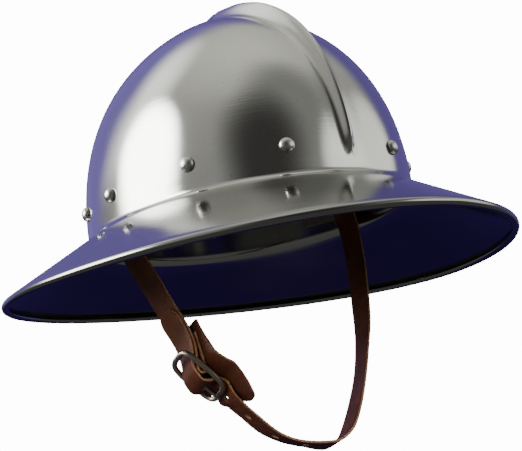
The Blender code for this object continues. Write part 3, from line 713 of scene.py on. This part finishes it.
def stud_hole(line, distance):
    """Cutter for a hanger's stud at a distance along a strap."""
    return strap_hole(*line_place(line, distance), STUD_RADIUS + HOLE_CLEARANCE)


def nearest_distance(line, point):
    """Distance along a line of the place nearest to a point."""
    best = (1.0, 0.0)
    walked = 0.0
    for a, b in zip(line, line[1:]):
        step = b - a
        share = min(1.0, max(0.0, (point - a).dot(step) / step.length_squared))
        best = min(best, ((a + step * share - point).length, walked + step.length * share))
        walked += step.length
    return best[1]


def buckle_line_place(down, out):
    """Place in the strap's plane: down along the buckle, out from it."""
    x = BUCKLE_CENTRE_X + down * math.sin(BUCKLE_TILT_ANGLE) - out * math.cos(BUCKLE_TILT_ANGLE)
    v = BUCKLE_CENTRE_V - down * math.cos(BUCKLE_TILT_ANGLE) - out * math.sin(BUCKLE_TILT_ANGLE)
    return Vector((x, v))


def buckle_place(down, out, w):
    """Point of the buckle: down along its plane, out from it, w back from the strap's front edge."""
    flat = buckle_line_place(down, out)
    place = strap_place(flat.x, flat.y, 0.0)
    place.x += BUCKLE_TWIST * w
    return place + STRAP_BACK * w


def add_piece(name, shape, crease, materials, node):
    """Link a finished shape as the shown form of a node."""
    mesh = mesh_from_bmesh(name, shape)
    smooth(mesh, crease)
    for vertex in mesh.vertices:
        vertex.co.z -= HEAD_SEAT_HEIGHT
    piece = bpy.data.objects.new(name, mesh)
    link(piece)
    for material in materials:
        mesh.materials.append(material)
    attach(piece, "root")
    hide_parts(node)
    return piece


def build_shell(material):
    """Crown, comb and brim: two skins joined along the rolled edge."""
    outer, inner = shell_rings()
    shape = bmesh.new()
    outer_edge = loft_skin(shape, outer, crown_point(1.0, 0.0))
    inner_edge = loft_skin(shape, inner, crown_point(1.0, 0.0, SHEET_THICKNESS))
    for k in range(len(outer_edge)):
        following = (k + 1) % len(outer_edge)
        shape.faces.new((outer_edge[k], inner_edge[k], inner_edge[following], outer_edge[following]))
    add_piece("shell", shape, STEEL_CREASE, [material], "hat_shell")


def rivet_profile(grip):
    """Radius and height down a rivet: domed head, shank through the grip, then the tail."""
    points = [(0.0, RIVET_HEAD_HEIGHT)]
    for k in range(1, RIVET_DOME_STEPS + 1):
        turn = math.pi / 2 * k / RIVET_DOME_STEPS
        rise = RIVET_EDGE_HEIGHT + (RIVET_HEAD_HEIGHT - RIVET_EDGE_HEIGHT) * math.cos(turn)
        points.append((RIVET_HEAD_RADIUS * math.sin(turn), rise))
    return points + [
        (RIVET_HEAD_RADIUS, RIVET_FOOT_HEIGHT),
        (RIVET_HEAD_RADIUS - RIVET_FOOT_INSET, RIVET_SEAT_HEIGHT),
        (RIVET_SHANK_RADIUS, RIVET_SEAT_HEIGHT),
        (RIVET_SHANK_RADIUS, -grip),
        (RIVET_TAIL_RADIUS, -grip),
        (RIVET_TAIL_RADIUS * RIVET_TAIL_TAPER, -grip - RIVET_TAIL_HEIGHT),
        (0.0, -grip - RIVET_TAIL_HEIGHT),
    ]


def turned_shape(profile, turn):
    """Round solid from a profile that begins and ends on its axis."""
    shape = bmesh.new()
    rings = []
    for radius, height in profile:
        if radius == 0.0:
            rings.append([shape.verts.new(turn @ Vector((0.0, 0.0, height)))])
            continue
        ring = []
        for k in range(RIVET_SIDES):
            around = 2 * math.pi * k / RIVET_SIDES
            spot = Vector((radius * math.cos(around), radius * math.sin(around), height))
            ring.append(shape.verts.new(turn @ spot))
        rings.append(ring)
    for a, b in zip(rings, rings[1:]):
        for k in range(RIVET_SIDES):
            following = (k + 1) % RIVET_SIDES
            if len(a) == 1:
                shape.faces.new((a[0], b[k], b[following]))
            elif len(b) == 1:
                shape.faces.new((a[k], b[0], a[following]))
            else:
                shape.faces.new((a[k], b[k], b[following], a[following]))
    return shape


def build_rivets(material):
    """Ten rivets. The four that hold the hangers have a longer grip."""
    for number, angle, point, normal in rivet_places():
        grip = SHEET_THICKNESS + WALL_CLEARANCE
        if angle in ANCHOR_RIVET_ANGLES:
            grip += ANCHOR_THICKNESS + HOLE_CLEARANCE
        turn = Matrix.Translation(point) @ normal.to_track_quat("Z", "Y").to_matrix().to_4x4()
        shape = turned_shape(rivet_profile(grip), turn)
        node = f"rivet_{number:02d}"
        add_piece(f"head_{number:02d}", shape, RIVET_CREASE, [material], node)


def band_section(front, back, thickness):
    """Rounded outline of a band: offset from its middle line, place over its width."""
    half = thickness / 2
    corners = (
        (half - EDGE_RADIUS, back - EDGE_RADIUS, 0),
        (-half + EDGE_RADIUS, back - EDGE_RADIUS, 90),
        (-half + EDGE_RADIUS, front + EDGE_RADIUS, 180),
        (half - EDGE_RADIUS, front + EDGE_RADIUS, 270),
    )
    points = []
    for offset, w, start in corners:
        for k in range(EDGE_CORNER_POINTS):
            turn = math.radians(start + EDGE_CORNER_DEGREES * k)
            points.append((offset + EDGE_RADIUS * math.cos(turn), w + EDGE_RADIUS * math.sin(turn)))
    full = []
    for index, point in enumerate(points):
        full.append(point)
        if index in (2 * EDGE_CORNER_POINTS - 1, 4 * EDGE_CORNER_POINTS - 1):
            following = points[(index + 1) % len(points)]
            for k in range(1, BAND_FACE_STEPS):
                share = k / BAND_FACE_STEPS
                full.append((point[0] + (following[0] - point[0]) * share,
                             point[1] + (following[1] - point[1]) * share))
    return full


def cut_side_numbers():
    """Numbers round a band's outline of its two narrow sides, with their neighbours."""
    back = EDGE_CORNER_POINTS - 1
    front = 3 * EDGE_CORNER_POINTS - 1 + BAND_FACE_STEPS - 1
    return {side + step for side in (back, front) for step in (-1, 0, 1)}


def line_normals(line):
    """Unit directions square to a plane line at each of its points."""
    normals = []
    for k in range(len(line)):
        ahead = line[min(k + 1, len(line) - 1)] - line[max(k - 1, 0)]
        normals.append(Vector((-ahead.y, ahead.x)).normalized())
    return normals


def band_shape(line, thickness, edges):
    """Leather band with rounded edges along a plane line. edges(k) gives its front and back edge at
    point k. Its two narrow sides and its ends take the second material.
    """
    shape = bmesh.new()
    rings = []
    for k, (point, normal) in enumerate(zip(line, line_normals(line))):
        ring = []
        for offset, w in band_section(*edges(k), thickness):
            spot = point + normal * offset
            ring.append(shape.verts.new(strap_place(spot.x, spot.y, w)))
        rings.append(ring)
    cut_sides = cut_side_numbers()
    for a, b in zip(rings, rings[1:]):
        for number, face in enumerate(bridge(shape, a, b)):
            face.material_index = 1 if number in cut_sides else 0
    for ring in (rings[0], rings[-1]):
        shape.faces.new(ring).material_index = 1
    return shape


def cut_holes(piece, cutters, materials):
    """Take cutters that don't touch out of a piece. Cut walls take the second material."""
    shape = bmesh.new()
    for mesh in cutters:
        shape.from_mesh(mesh)
    cutter = bpy.data.objects.new("cutter", mesh_from_bmesh("cutter", shape))
    link(cutter)
    for vertex in cutter.data.vertices:
        vertex.co.z -= HEAD_SEAT_HEIGHT
    for material in materials:
        cutter.data.materials.append(material)
    for face in cutter.data.polygons:
        face.material_index = 1
    modifier = piece.modifiers.new("holes", "BOOLEAN")
    modifier.operation = "DIFFERENCE"
    modifier.solver = "EXACT"
    modifier.object = cutter
    bpy.context.view_layer.update()
    depsgraph = bpy.context.evaluated_depsgraph_get()
    mesh = bpy.data.meshes.new_from_object(piece.evaluated_get(depsgraph))
    piece.modifiers.clear()
    piece.data = mesh
    bpy.data.objects.remove(cutter, do_unlink=True)
    smooth(mesh, LEATHER_CREASE)


def build_chin_strap(materials):
    """Long strap: rounded tip, drawn in where it passes the ring, with its row of holes."""
    line = resample(spline(chin_strap_line(), STRAP_CURVE_STEPS), STRAP_STEP)
    walked = walked_lengths(line)
    crossings = [nearest_distance(line, buckle_line_place(down, 0.0)) for down in BUCKLE_CROSSINGS]

    def edges(k):
        short = max(0.0, 1 - walked[k] / TIP_LENGTH)
        inset = STRAP_WIDTH / 2 * (1 - math.sqrt(1 - short ** 2)) * TIP_ROUNDING
        for crossing in crossings:
            away = (walked[k] - crossing) / BUCKLE_CROSSING_REACH
            inset += BUCKLE_SQUEEZE * math.exp(-away ** 2)
        return inset, STRAP_WIDTH - inset

    shape = band_shape(line, STRAP_THICKNESS, edges)
    strap = add_piece("chin_band", shape, LEATHER_CREASE, materials, "chin_strap")
    first = nearest_distance(line, buckle_line_place(PRONG_HOLE_DOWN, PRONG_HOLE_OUT))
    places = [first + number * HOLE_PITCH for number in range(HOLE_COUNT)]
    cutters = [strap_hole(*line_place(line, place), HOLE_RADIUS) for place in places]
    cutters.append(stud_hole(line, walked[-1] - STUD_FROM_STRAP_END))
    cut_holes(strap, cutters, materials)


def prong_slot():
    """Cutter for the slot in the fold, where the prong's eye goes round the middle bar."""
    reach = 2 * (BAR_RADIUS + 2 * CLEARANCE + STRAP_THICKNESS) + PRONG_RADIUS
    size = Matrix.Diagonal((reach, 4 * PRONG_RADIUS, reach, 1.0))
    place = Matrix.Translation(strap_place(BUCKLE_CENTRE_X, BUCKLE_CENTRE_V, STRAP_WIDTH / 2))
    turn = Matrix.Rotation(-STRAP_LEAN_ANGLE, 4, "X")
    shape = bmesh.new()
    bmesh.ops.create_cube(shape, size=1.0)
    bmesh.ops.transform(shape, matrix=place @ turn @ size, verts=shape.verts)
    return mesh_from_bmesh("slot", shape)


def build_buckle_strap(materials):
    """Short strap, folded round the buckle's middle bar."""
    line = resample(spline(buckle_strap_line(), STRAP_CURVE_STEPS), FOLD_STEP)

    def edges(k):
        return 0.0, STRAP_WIDTH

    shape = band_shape(line, STRAP_THICKNESS, edges)
    strap = add_piece("buckle_band", shape, LEATHER_CREASE, materials, "buckle_strap")
    cut_holes(strap, [stud_hole(line, STUD_FROM_STRAP_END), prong_slot()], materials)


def build_guard(materials):
    """Flap between buckle and cheek, widest beside the buckle."""
    rows = spline([Vector(row) * MM for row in GUARD_SECTIONS], GUARD_CURVE_STEPS)
    line = [Vector((row[0], row[1])) for row in rows]

    def edges(k):
        return rows[k][2], rows[k][3]

    shape = band_shape(line, GUARD_THICKNESS, edges)
    add_piece("guard_flap", shape, LEATHER_CREASE, materials, "buckle_guard")


def tube(shape, points, radius, sides, closed):
    """Round wire through the points, closed on itself or with low domed ends."""
    count = len(points)
    rings = []
    side = (points[1] - points[-1 if closed else 0]).normalized().orthogonal().normalized()
    for k in range(count):
        if closed:
            ahead = points[(k + 1) % count] - points[k - 1]
        else:
            ahead = points[min(k + 1, count - 1)] - points[max(k - 1, 0)]
        ahead.normalize()
        side = (side - ahead * side.dot(ahead)).normalized()
        other = ahead.cross(side)
        ring = []
        for n in range(sides):
            turn = 2 * math.pi * n / sides
            ray = side * math.cos(turn) + other * math.sin(turn)
            ring.append(shape.verts.new(points[k] + ray * radius))
        rings.append(ring)
    pairs = list(zip(rings, rings[1:]))
    if closed:
        first = rings[0]
        last = rings[-1]
        shift = min(range(sides), key=lambda n: (first[n].co - last[0].co).length)
        pairs.append((last, first[shift:] + first[:shift]))
    for a, b in pairs:
        bridge(shape, a, b)
    if closed:
        return
    for ring, end, before in ((rings[0], points[0], points[1]), (rings[-1], points[-1], points[-2])):
        tip = shape.verts.new(end + (end - before).normalized() * radius * WIRE_END_SHARE)
        for n in range(sides):
            shape.faces.new((ring[n], ring[(n + 1) % sides], tip))


def build_buckle_frame(material):
    """Oval ring of wire with its middle bar."""
    half_width = STRAP_WIDTH / 2 + BUCKLE_SIDE_ROOM + WIRE_RADIUS
    middle = STRAP_WIDTH / 2
    ring = []
    for k in range(RING_STEPS):
        turn = 2 * math.pi * k / RING_STEPS
        spot = superellipse(turn, half_width, BUCKLE_HALF_LENGTH, BUCKLE_SQUARENESS)
        ring.append(buckle_place(spot.y + BUCKLE_RING_DROP, 0.0, middle + spot.x))
    shape = bmesh.new()
    tube(shape, ring, WIRE_RADIUS, WIRE_SIDES, True)
    ends = [buckle_place(0.0, 0.0, middle + side * half_width) for side in (-1, 1)]
    bar = [ends[0].lerp(ends[1], k / BAR_STEPS) for k in range(BAR_STEPS + 1)]
    tube(shape, bar, BAR_RADIUS, WIRE_SIDES, False)
    add_piece("buckle_ring", shape, STEEL_CREASE, [material], "buckle_frame")


def prong_points():
    """Middle line of the prong: its eye round the bar, then down to rest on the ring."""
    eye = BAR_RADIUS + HOLE_CLEARANCE + PRONG_RADIUS
    spots = []
    for k in range(EYE_STEPS + 1):
        turn = math.radians(EYE_TURN[0] + (EYE_TURN[1] - EYE_TURN[0]) * k / EYE_STEPS)
        spots.append((-eye * math.cos(turn), eye * math.sin(turn)))
    lift = WIRE_RADIUS + CLEARANCE + PRONG_RADIUS
    spots += [(down * MM, out * MM) for down, out in PRONG_ROUTE]
    spots += [(BUCKLE_RING_DROP + BUCKLE_HALF_LENGTH + PRONG_OVERHANG, lift)]
    return [buckle_place(down, out, STRAP_WIDTH / 2) for down, out in spots]


def build_prong(material):
    """Wire prong of the buckle."""
    shape = bmesh.new()
    tube(shape, spline(prong_points(), PRONG_CURVE_STEPS), PRONG_RADIUS, PRONG_SIDES, False)
    add_piece("prong_wire", shape, STEEL_CREASE, [material], "buckle_prong")


def dress_hangers(frame, material):
    """The two hidden hangers keep their solids and take the buckle's steel."""
    for node in ("strap_anchor_right", "strap_anchor_left"):
        hanger = frame["nodes"][node]
        hanger.data.materials.clear()
        hanger.data.materials.append(material)


def new_material(name, metallic, roughness):
    """Material with its node tree and shader."""
    material = bpy.data.materials.new(name)
    material.use_nodes = True
    shader = material.node_tree.nodes["Principled BSDF"]
    shader.inputs["Metallic"].default_value = metallic
    shader.inputs["Roughness"].default_value = roughness
    return material, material.node_tree, shader


def noise(tree, place, scale, detail, roughness=0.5, stretch=None):
    """Noise texture in object space, stretched if wanted."""
    source = place
    if stretch:
        mapping = tree.nodes.new("ShaderNodeMapping")
        mapping.inputs["Scale"].default_value = stretch
        tree.links.new(place, mapping.inputs["Vector"])
        source = mapping.outputs["Vector"]
    texture = tree.nodes.new("ShaderNodeTexNoise")
    texture.inputs["Scale"].default_value = scale
    texture.inputs["Detail"].default_value = detail
    texture.inputs["Roughness"].default_value = roughness
    tree.links.new(source, texture.inputs["Vector"])
    return texture.outputs["Fac"]


def spread(tree, value, old, new=(0.0, 1.0), way="LINEAR"):
    """Map a value from an old range to a new one."""
    node = tree.nodes.new("ShaderNodeMapRange")
    node.interpolation_type = way
    for name, limit in zip(("From Min", "From Max", "To Min", "To Max"), (*old, *new)):
        node.inputs[name].default_value = limit
    tree.links.new(value, node.inputs["Value"])
    return node.outputs["Result"]


def blend_colours(tree, factor, first, second):
    """Mix of two colours, each a tuple or a node's output."""
    node = tree.nodes.new("ShaderNodeMix")
    node.data_type = "RGBA"
    tree.links.new(factor, node.inputs["Factor"])
    for socket, colour in ((node.inputs[6], first), (node.inputs[7], second)):
        if isinstance(colour, tuple):
            socket.default_value = (*colour, 1.0)
        else:
            tree.links.new(colour, socket)
    return node.outputs[2]


def add_bump(tree, shader, height, strength, distance, below=None):
    """Fine relief on a shader, over the relief below it if there is one."""
    bump = tree.nodes.new("ShaderNodeBump")
    bump.inputs["Strength"].default_value = strength
    bump.inputs["Distance"].default_value = distance
    tree.links.new(height, bump.inputs["Height"])
    if below is not None:
        tree.links.new(below, bump.inputs["Normal"])
    tree.links.new(bump.outputs["Normal"], shader.inputs["Normal"])
    return bump.outputs["Normal"]


def scaled(parts, factor):
    """Each part of a colour or range times a factor."""
    return tuple(factor * part for part in parts)


def steel_material(name, colour, dark, roughness, dents, scratches, brim_shade_share=1.0):
    """Polished steel: slight dents, faint smears, fine level scratches and a few dull specks."""
    material, tree, shader = new_material(name, 1.0, roughness)
    place = tree.nodes.new("ShaderNodeTexCoord").outputs["Object"]
    smears = noise(tree, place, *SMEAR_NOISE)
    specks = noise(tree, place, *SPECK_NOISE)
    tone = blend_colours(tree, spread(tree, smears, SMEAR_RANGE), colour, dark)
    speck_mask = spread(tree, specks, SPECK_RANGE, (0.0, SPECK_SHARE))
    tone = blend_colours(tree, speck_mask, tone, scaled(colour, SPECK_TONE))
    # Painted shade: below these heights the brim takes a darker copy of the colour and its smears
    if brim_shade_share < 1:
        split = tree.nodes.new("ShaderNodeSeparateXYZ")
        tree.links.new(place, split.inputs[0])
        unshaded_crown_mask = spread(tree, split.outputs["Z"], BRIM_SHADE_LEVELS)
        shaded_brim_tone = blend_colours(tree, spread(tree, smears, DULLING_RANGE),
                               scaled(colour, brim_shade_share), scaled(dark, brim_shade_share))
        tone = blend_colours(tree, unshaded_crown_mask, shaded_brim_tone, tone)
    tree.links.new(tone, shader.inputs["Base Color"])
    rough = spread(tree, smears, DULLING_RANGE, scaled(STEEL_ROUGHNESS_SHARES, roughness))
    tree.links.new(rough, shader.inputs["Roughness"])
    relief = add_bump(tree, shader, noise(tree, place, *DENT_NOISE), 1.0, dents)
    fine = noise(tree, place, *SCRATCH_NOISE)
    add_bump(tree, shader, fine, scratches, SCRATCH_DEPTH, relief)
    return material


def leather_material(name, colour, dark, roughness):
    """Smooth leather: cloudy dye, small-celled grain and fine pores."""
    material, tree, shader = new_material(name, 0.0, roughness)
    shader.inputs["Specular IOR Level"].default_value = LEATHER_SPECULAR
    place = tree.nodes.new("ShaderNodeTexCoord").outputs["Object"]
    clouds = noise(tree, place, *CLOUD_NOISE)
    pores = noise(tree, place, *PORE_NOISE)
    tone = blend_colours(tree, spread(tree, clouds, CLOUD_RANGE), dark, colour)
    tree.links.new(tone, shader.inputs["Base Color"])
    rough = spread(tree, clouds, CLOUD_RANGE, scaled(LEATHER_ROUGHNESS_SHARES, roughness))
    tree.links.new(rough, shader.inputs["Roughness"])
    cells = tree.nodes.new("ShaderNodeTexVoronoi")
    cells.inputs["Scale"].default_value = GRAIN_SCALE
    tree.links.new(place, cells.inputs["Vector"])
    relief = add_bump(tree, shader, cells.outputs["Distance"], GRAIN_STRENGTH, GRAIN_DEPTH)
    add_bump(tree, shader, pores, PORE_STRENGTH, PORE_DEPTH, relief)
    return material


def cut_edge_material(name, colour, dark):
    """Cut leather edge: fibrous streaks of a lighter tan."""
    material, tree, shader = new_material(name, 0.0, CUT_EDGE_ROUGHNESS)
    place = tree.nodes.new("ShaderNodeTexCoord").outputs["Object"]
    fibres = noise(tree, place, *FIBRE_NOISE)
    clouds = noise(tree, place, *EDGE_CLOUD_NOISE)
    tone = blend_colours(tree, spread(tree, fibres, FIBRE_RANGE), dark, colour)
    cloud_mask = spread(tree, clouds, EDGE_CLOUD_RANGE, (0.0, EDGE_CLOUD_SHARE))
    tone = blend_colours(tree, cloud_mask, tone, dark)
    tree.links.new(tone, shader.inputs["Base Color"])
    add_bump(tree, shader, fibres, FIBRE_STRENGTH, FIBRE_DEPTH)
    return material


def direction(azimuth, elevation):
    """Direction of unit length: azimuth from the front, positive to the wearer's left, in radians."""
    reach = math.cos(elevation)
    return math.sin(azimuth) * reach, -math.cos(azimuth) * reach, math.sin(elevation)


def add_camera():
    """The photograph's camera, aimed at the middle of the crown's base."""
    back = Vector(direction(CAMERA_AZIMUTH, CAMERA_ELEVATION))
    level = Vector((math.cos(CAMERA_AZIMUTH), math.sin(CAMERA_AZIMUTH), 0.0))
    rise = back.cross(level)
    right = level * math.cos(CAMERA_ROLL) + rise * math.sin(CAMERA_ROLL)
    up = rise * math.cos(CAMERA_ROLL) - level * math.sin(CAMERA_ROLL)
    matrix = Matrix((right, up, back)).transposed().to_4x4()
    matrix.translation = Vector((0.0, 0.0, CROWN_BASE_HEIGHT - HEAD_SEAT_HEIGHT)) + back * CAMERA_DISTANCE
    data = bpy.data.cameras.new("camera")
    data.sensor_width = SENSOR_WIDTH
    data.lens = FOCAL_PIXELS * SENSOR_WIDTH / IMAGE_WIDTH
    data.shift_x = CAMERA_SHIFT_X
    data.shift_y = CAMERA_SHIFT_Y
    data.clip_end = VIEW_REACH
    camera = bpy.data.objects.new("camera", data)
    camera.matrix_world = matrix
    link(camera)
    bpy.context.scene.camera = camera


def add_floor():
    """Pale floor. It glows softly, and no light from it reaches the hat."""
    shape = bmesh.new()
    bmesh.ops.create_grid(shape, x_segments=1, y_segments=1, size=FLOOR_REACH)
    mesh = bpy.data.meshes.new("floor")
    shape.to_mesh(mesh)
    shape.free()
    material, _, shader = new_material("floor_paint", 0.0, FLOOR_ROUGHNESS)
    shader.inputs["Base Color"].default_value = (*FLOOR_COLOUR, 1.0)
    shader.inputs["Emission Color"].default_value = WHITE
    shader.inputs["Emission Strength"].default_value = FLOOR_GLOW
    mesh.materials.append(material)
    floor = bpy.data.objects.new("floor", mesh)
    floor.location = (0.0, 0.0, FLOOR_HEIGHT)
    floor.visible_glossy = False
    floor.visible_diffuse = False
    link(floor)


def add_softboxes():
    """Area lights that neither the camera nor the steel sees."""
    for name, place, width, height, power in SOFTBOXES:
        data = bpy.data.lights.new(name, "AREA")
        data.shape = "RECTANGLE"
        data.size = width
        data.size_y = height
        data.energy = power
        light = bpy.data.objects.new(name, data)
        light.location = place
        towards = Vector(SOFTBOX_AIM) - Vector(place)
        light.rotation_euler = towards.to_track_quat("-Z", "Y").to_euler()
        light.visible_camera = False
        light.visible_glossy = False
        link(light)


def studio_colour(tree):
    """What the steel mirrors: a studio that brightens upwards, with soft panels and dark sides."""
    towards = tree.nodes.new("ShaderNodeTexCoord").outputs["Generated"]
    split = tree.nodes.new("ShaderNodeSeparateXYZ")
    tree.links.new(towards, split.inputs[0])
    ramp = tree.nodes.new("ShaderNodeValToRGB")
    elements = ramp.color_ramp.elements
    elements.remove(elements[0])
    for number, (share, colour) in enumerate(STUDIO_HEIGHTS):
        element = elements.new(share) if number else elements[0]
        element.position = share
        element.color = (*colour, 1.0)
    tree.links.new(spread(tree, split.outputs["Z"], (-1.0, 1.0)), ramp.inputs["Fac"])
    tone = ramp.outputs["Color"]
    for azimuth, elevation, full, gone, colour in STUDIO_PANELS:
        dot = tree.nodes.new("ShaderNodeVectorMath")
        dot.operation = "DOT_PRODUCT"
        dot.inputs[1].default_value = direction(math.radians(azimuth), math.radians(elevation))
        tree.links.new(towards, dot.inputs[0])
        limits = (math.cos(math.radians(gone)), math.cos(math.radians(full)))
        share = spread(tree, dot.outputs["Value"], limits, way="SMOOTHSTEP")
        tone = blend_colours(tree, share, tone, colour)
    return tone


def background(tree, strength):
    """White background of a strength."""
    node = tree.nodes.new("ShaderNodeBackground")
    node.inputs["Color"].default_value = WHITE
    node.inputs["Strength"].default_value = strength
    return node


def choose(tree, test, otherwise, chosen):
    """One of two shaders, by a test on the ray."""
    node = tree.nodes.new("ShaderNodeMixShader")
    tree.links.new(test, node.inputs[0])
    tree.links.new(otherwise, node.inputs[1])
    tree.links.new(chosen, node.inputs[2])
    return node.outputs[0]


def add_world():
    """White to the camera, a soft even fill for matt surfaces, and the studio for mirrored ones."""
    world = bpy.data.worlds.new("studio")
    bpy.context.scene.world = world
    world.use_nodes = True
    tree = world.node_tree
    tree.nodes.clear()
    ray = tree.nodes.new("ShaderNodeLightPath")
    seen = background(tree, SEEN_STRENGTH)
    fill = background(tree, FILL_STRENGTH)
    mirrored = background(tree, 1.0)
    tree.links.new(studio_colour(tree), mirrored.inputs["Color"])
    unseen = choose(tree, ray.outputs["Is Glossy Ray"], fill.outputs[0], mirrored.outputs[0])
    light = choose(tree, ray.outputs["Is Camera Ray"], unseen, seen.outputs[0])
    tree.links.new(light, tree.nodes.new("ShaderNodeOutputWorld").inputs["Surface"])


def main():
    """Build the pieces round the loaded frame, then the camera, floor and light."""
    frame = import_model()
    wire = steel_material("wire_steel", *WIRE_STEEL)
    leather = leather_material("strap_leather", *STRAP_LEATHER)
    strap_materials = [leather, cut_edge_material("cut_edge", *STRAP_CUT_EDGE)]
    flap = leather_material("flap_leather", *FLAP_LEATHER)
    flap_materials = [flap, cut_edge_material("flap_cut_edge", *FLAP_CUT_EDGE)]
    build_shell(steel_material("shell_steel", *SHELL_STEEL, BRIM_PAINTED_SHADE))
    build_rivets(steel_material("head_steel", *RIVET_STEEL))
    build_chin_strap(strap_materials)
    build_buckle_strap(strap_materials)
    build_guard(flap_materials)
    build_buckle_frame(wire)
    build_prong(wire)
    dress_hangers(frame, wire)
    add_camera()
    add_floor()
    add_world()
    add_softboxes()


main()
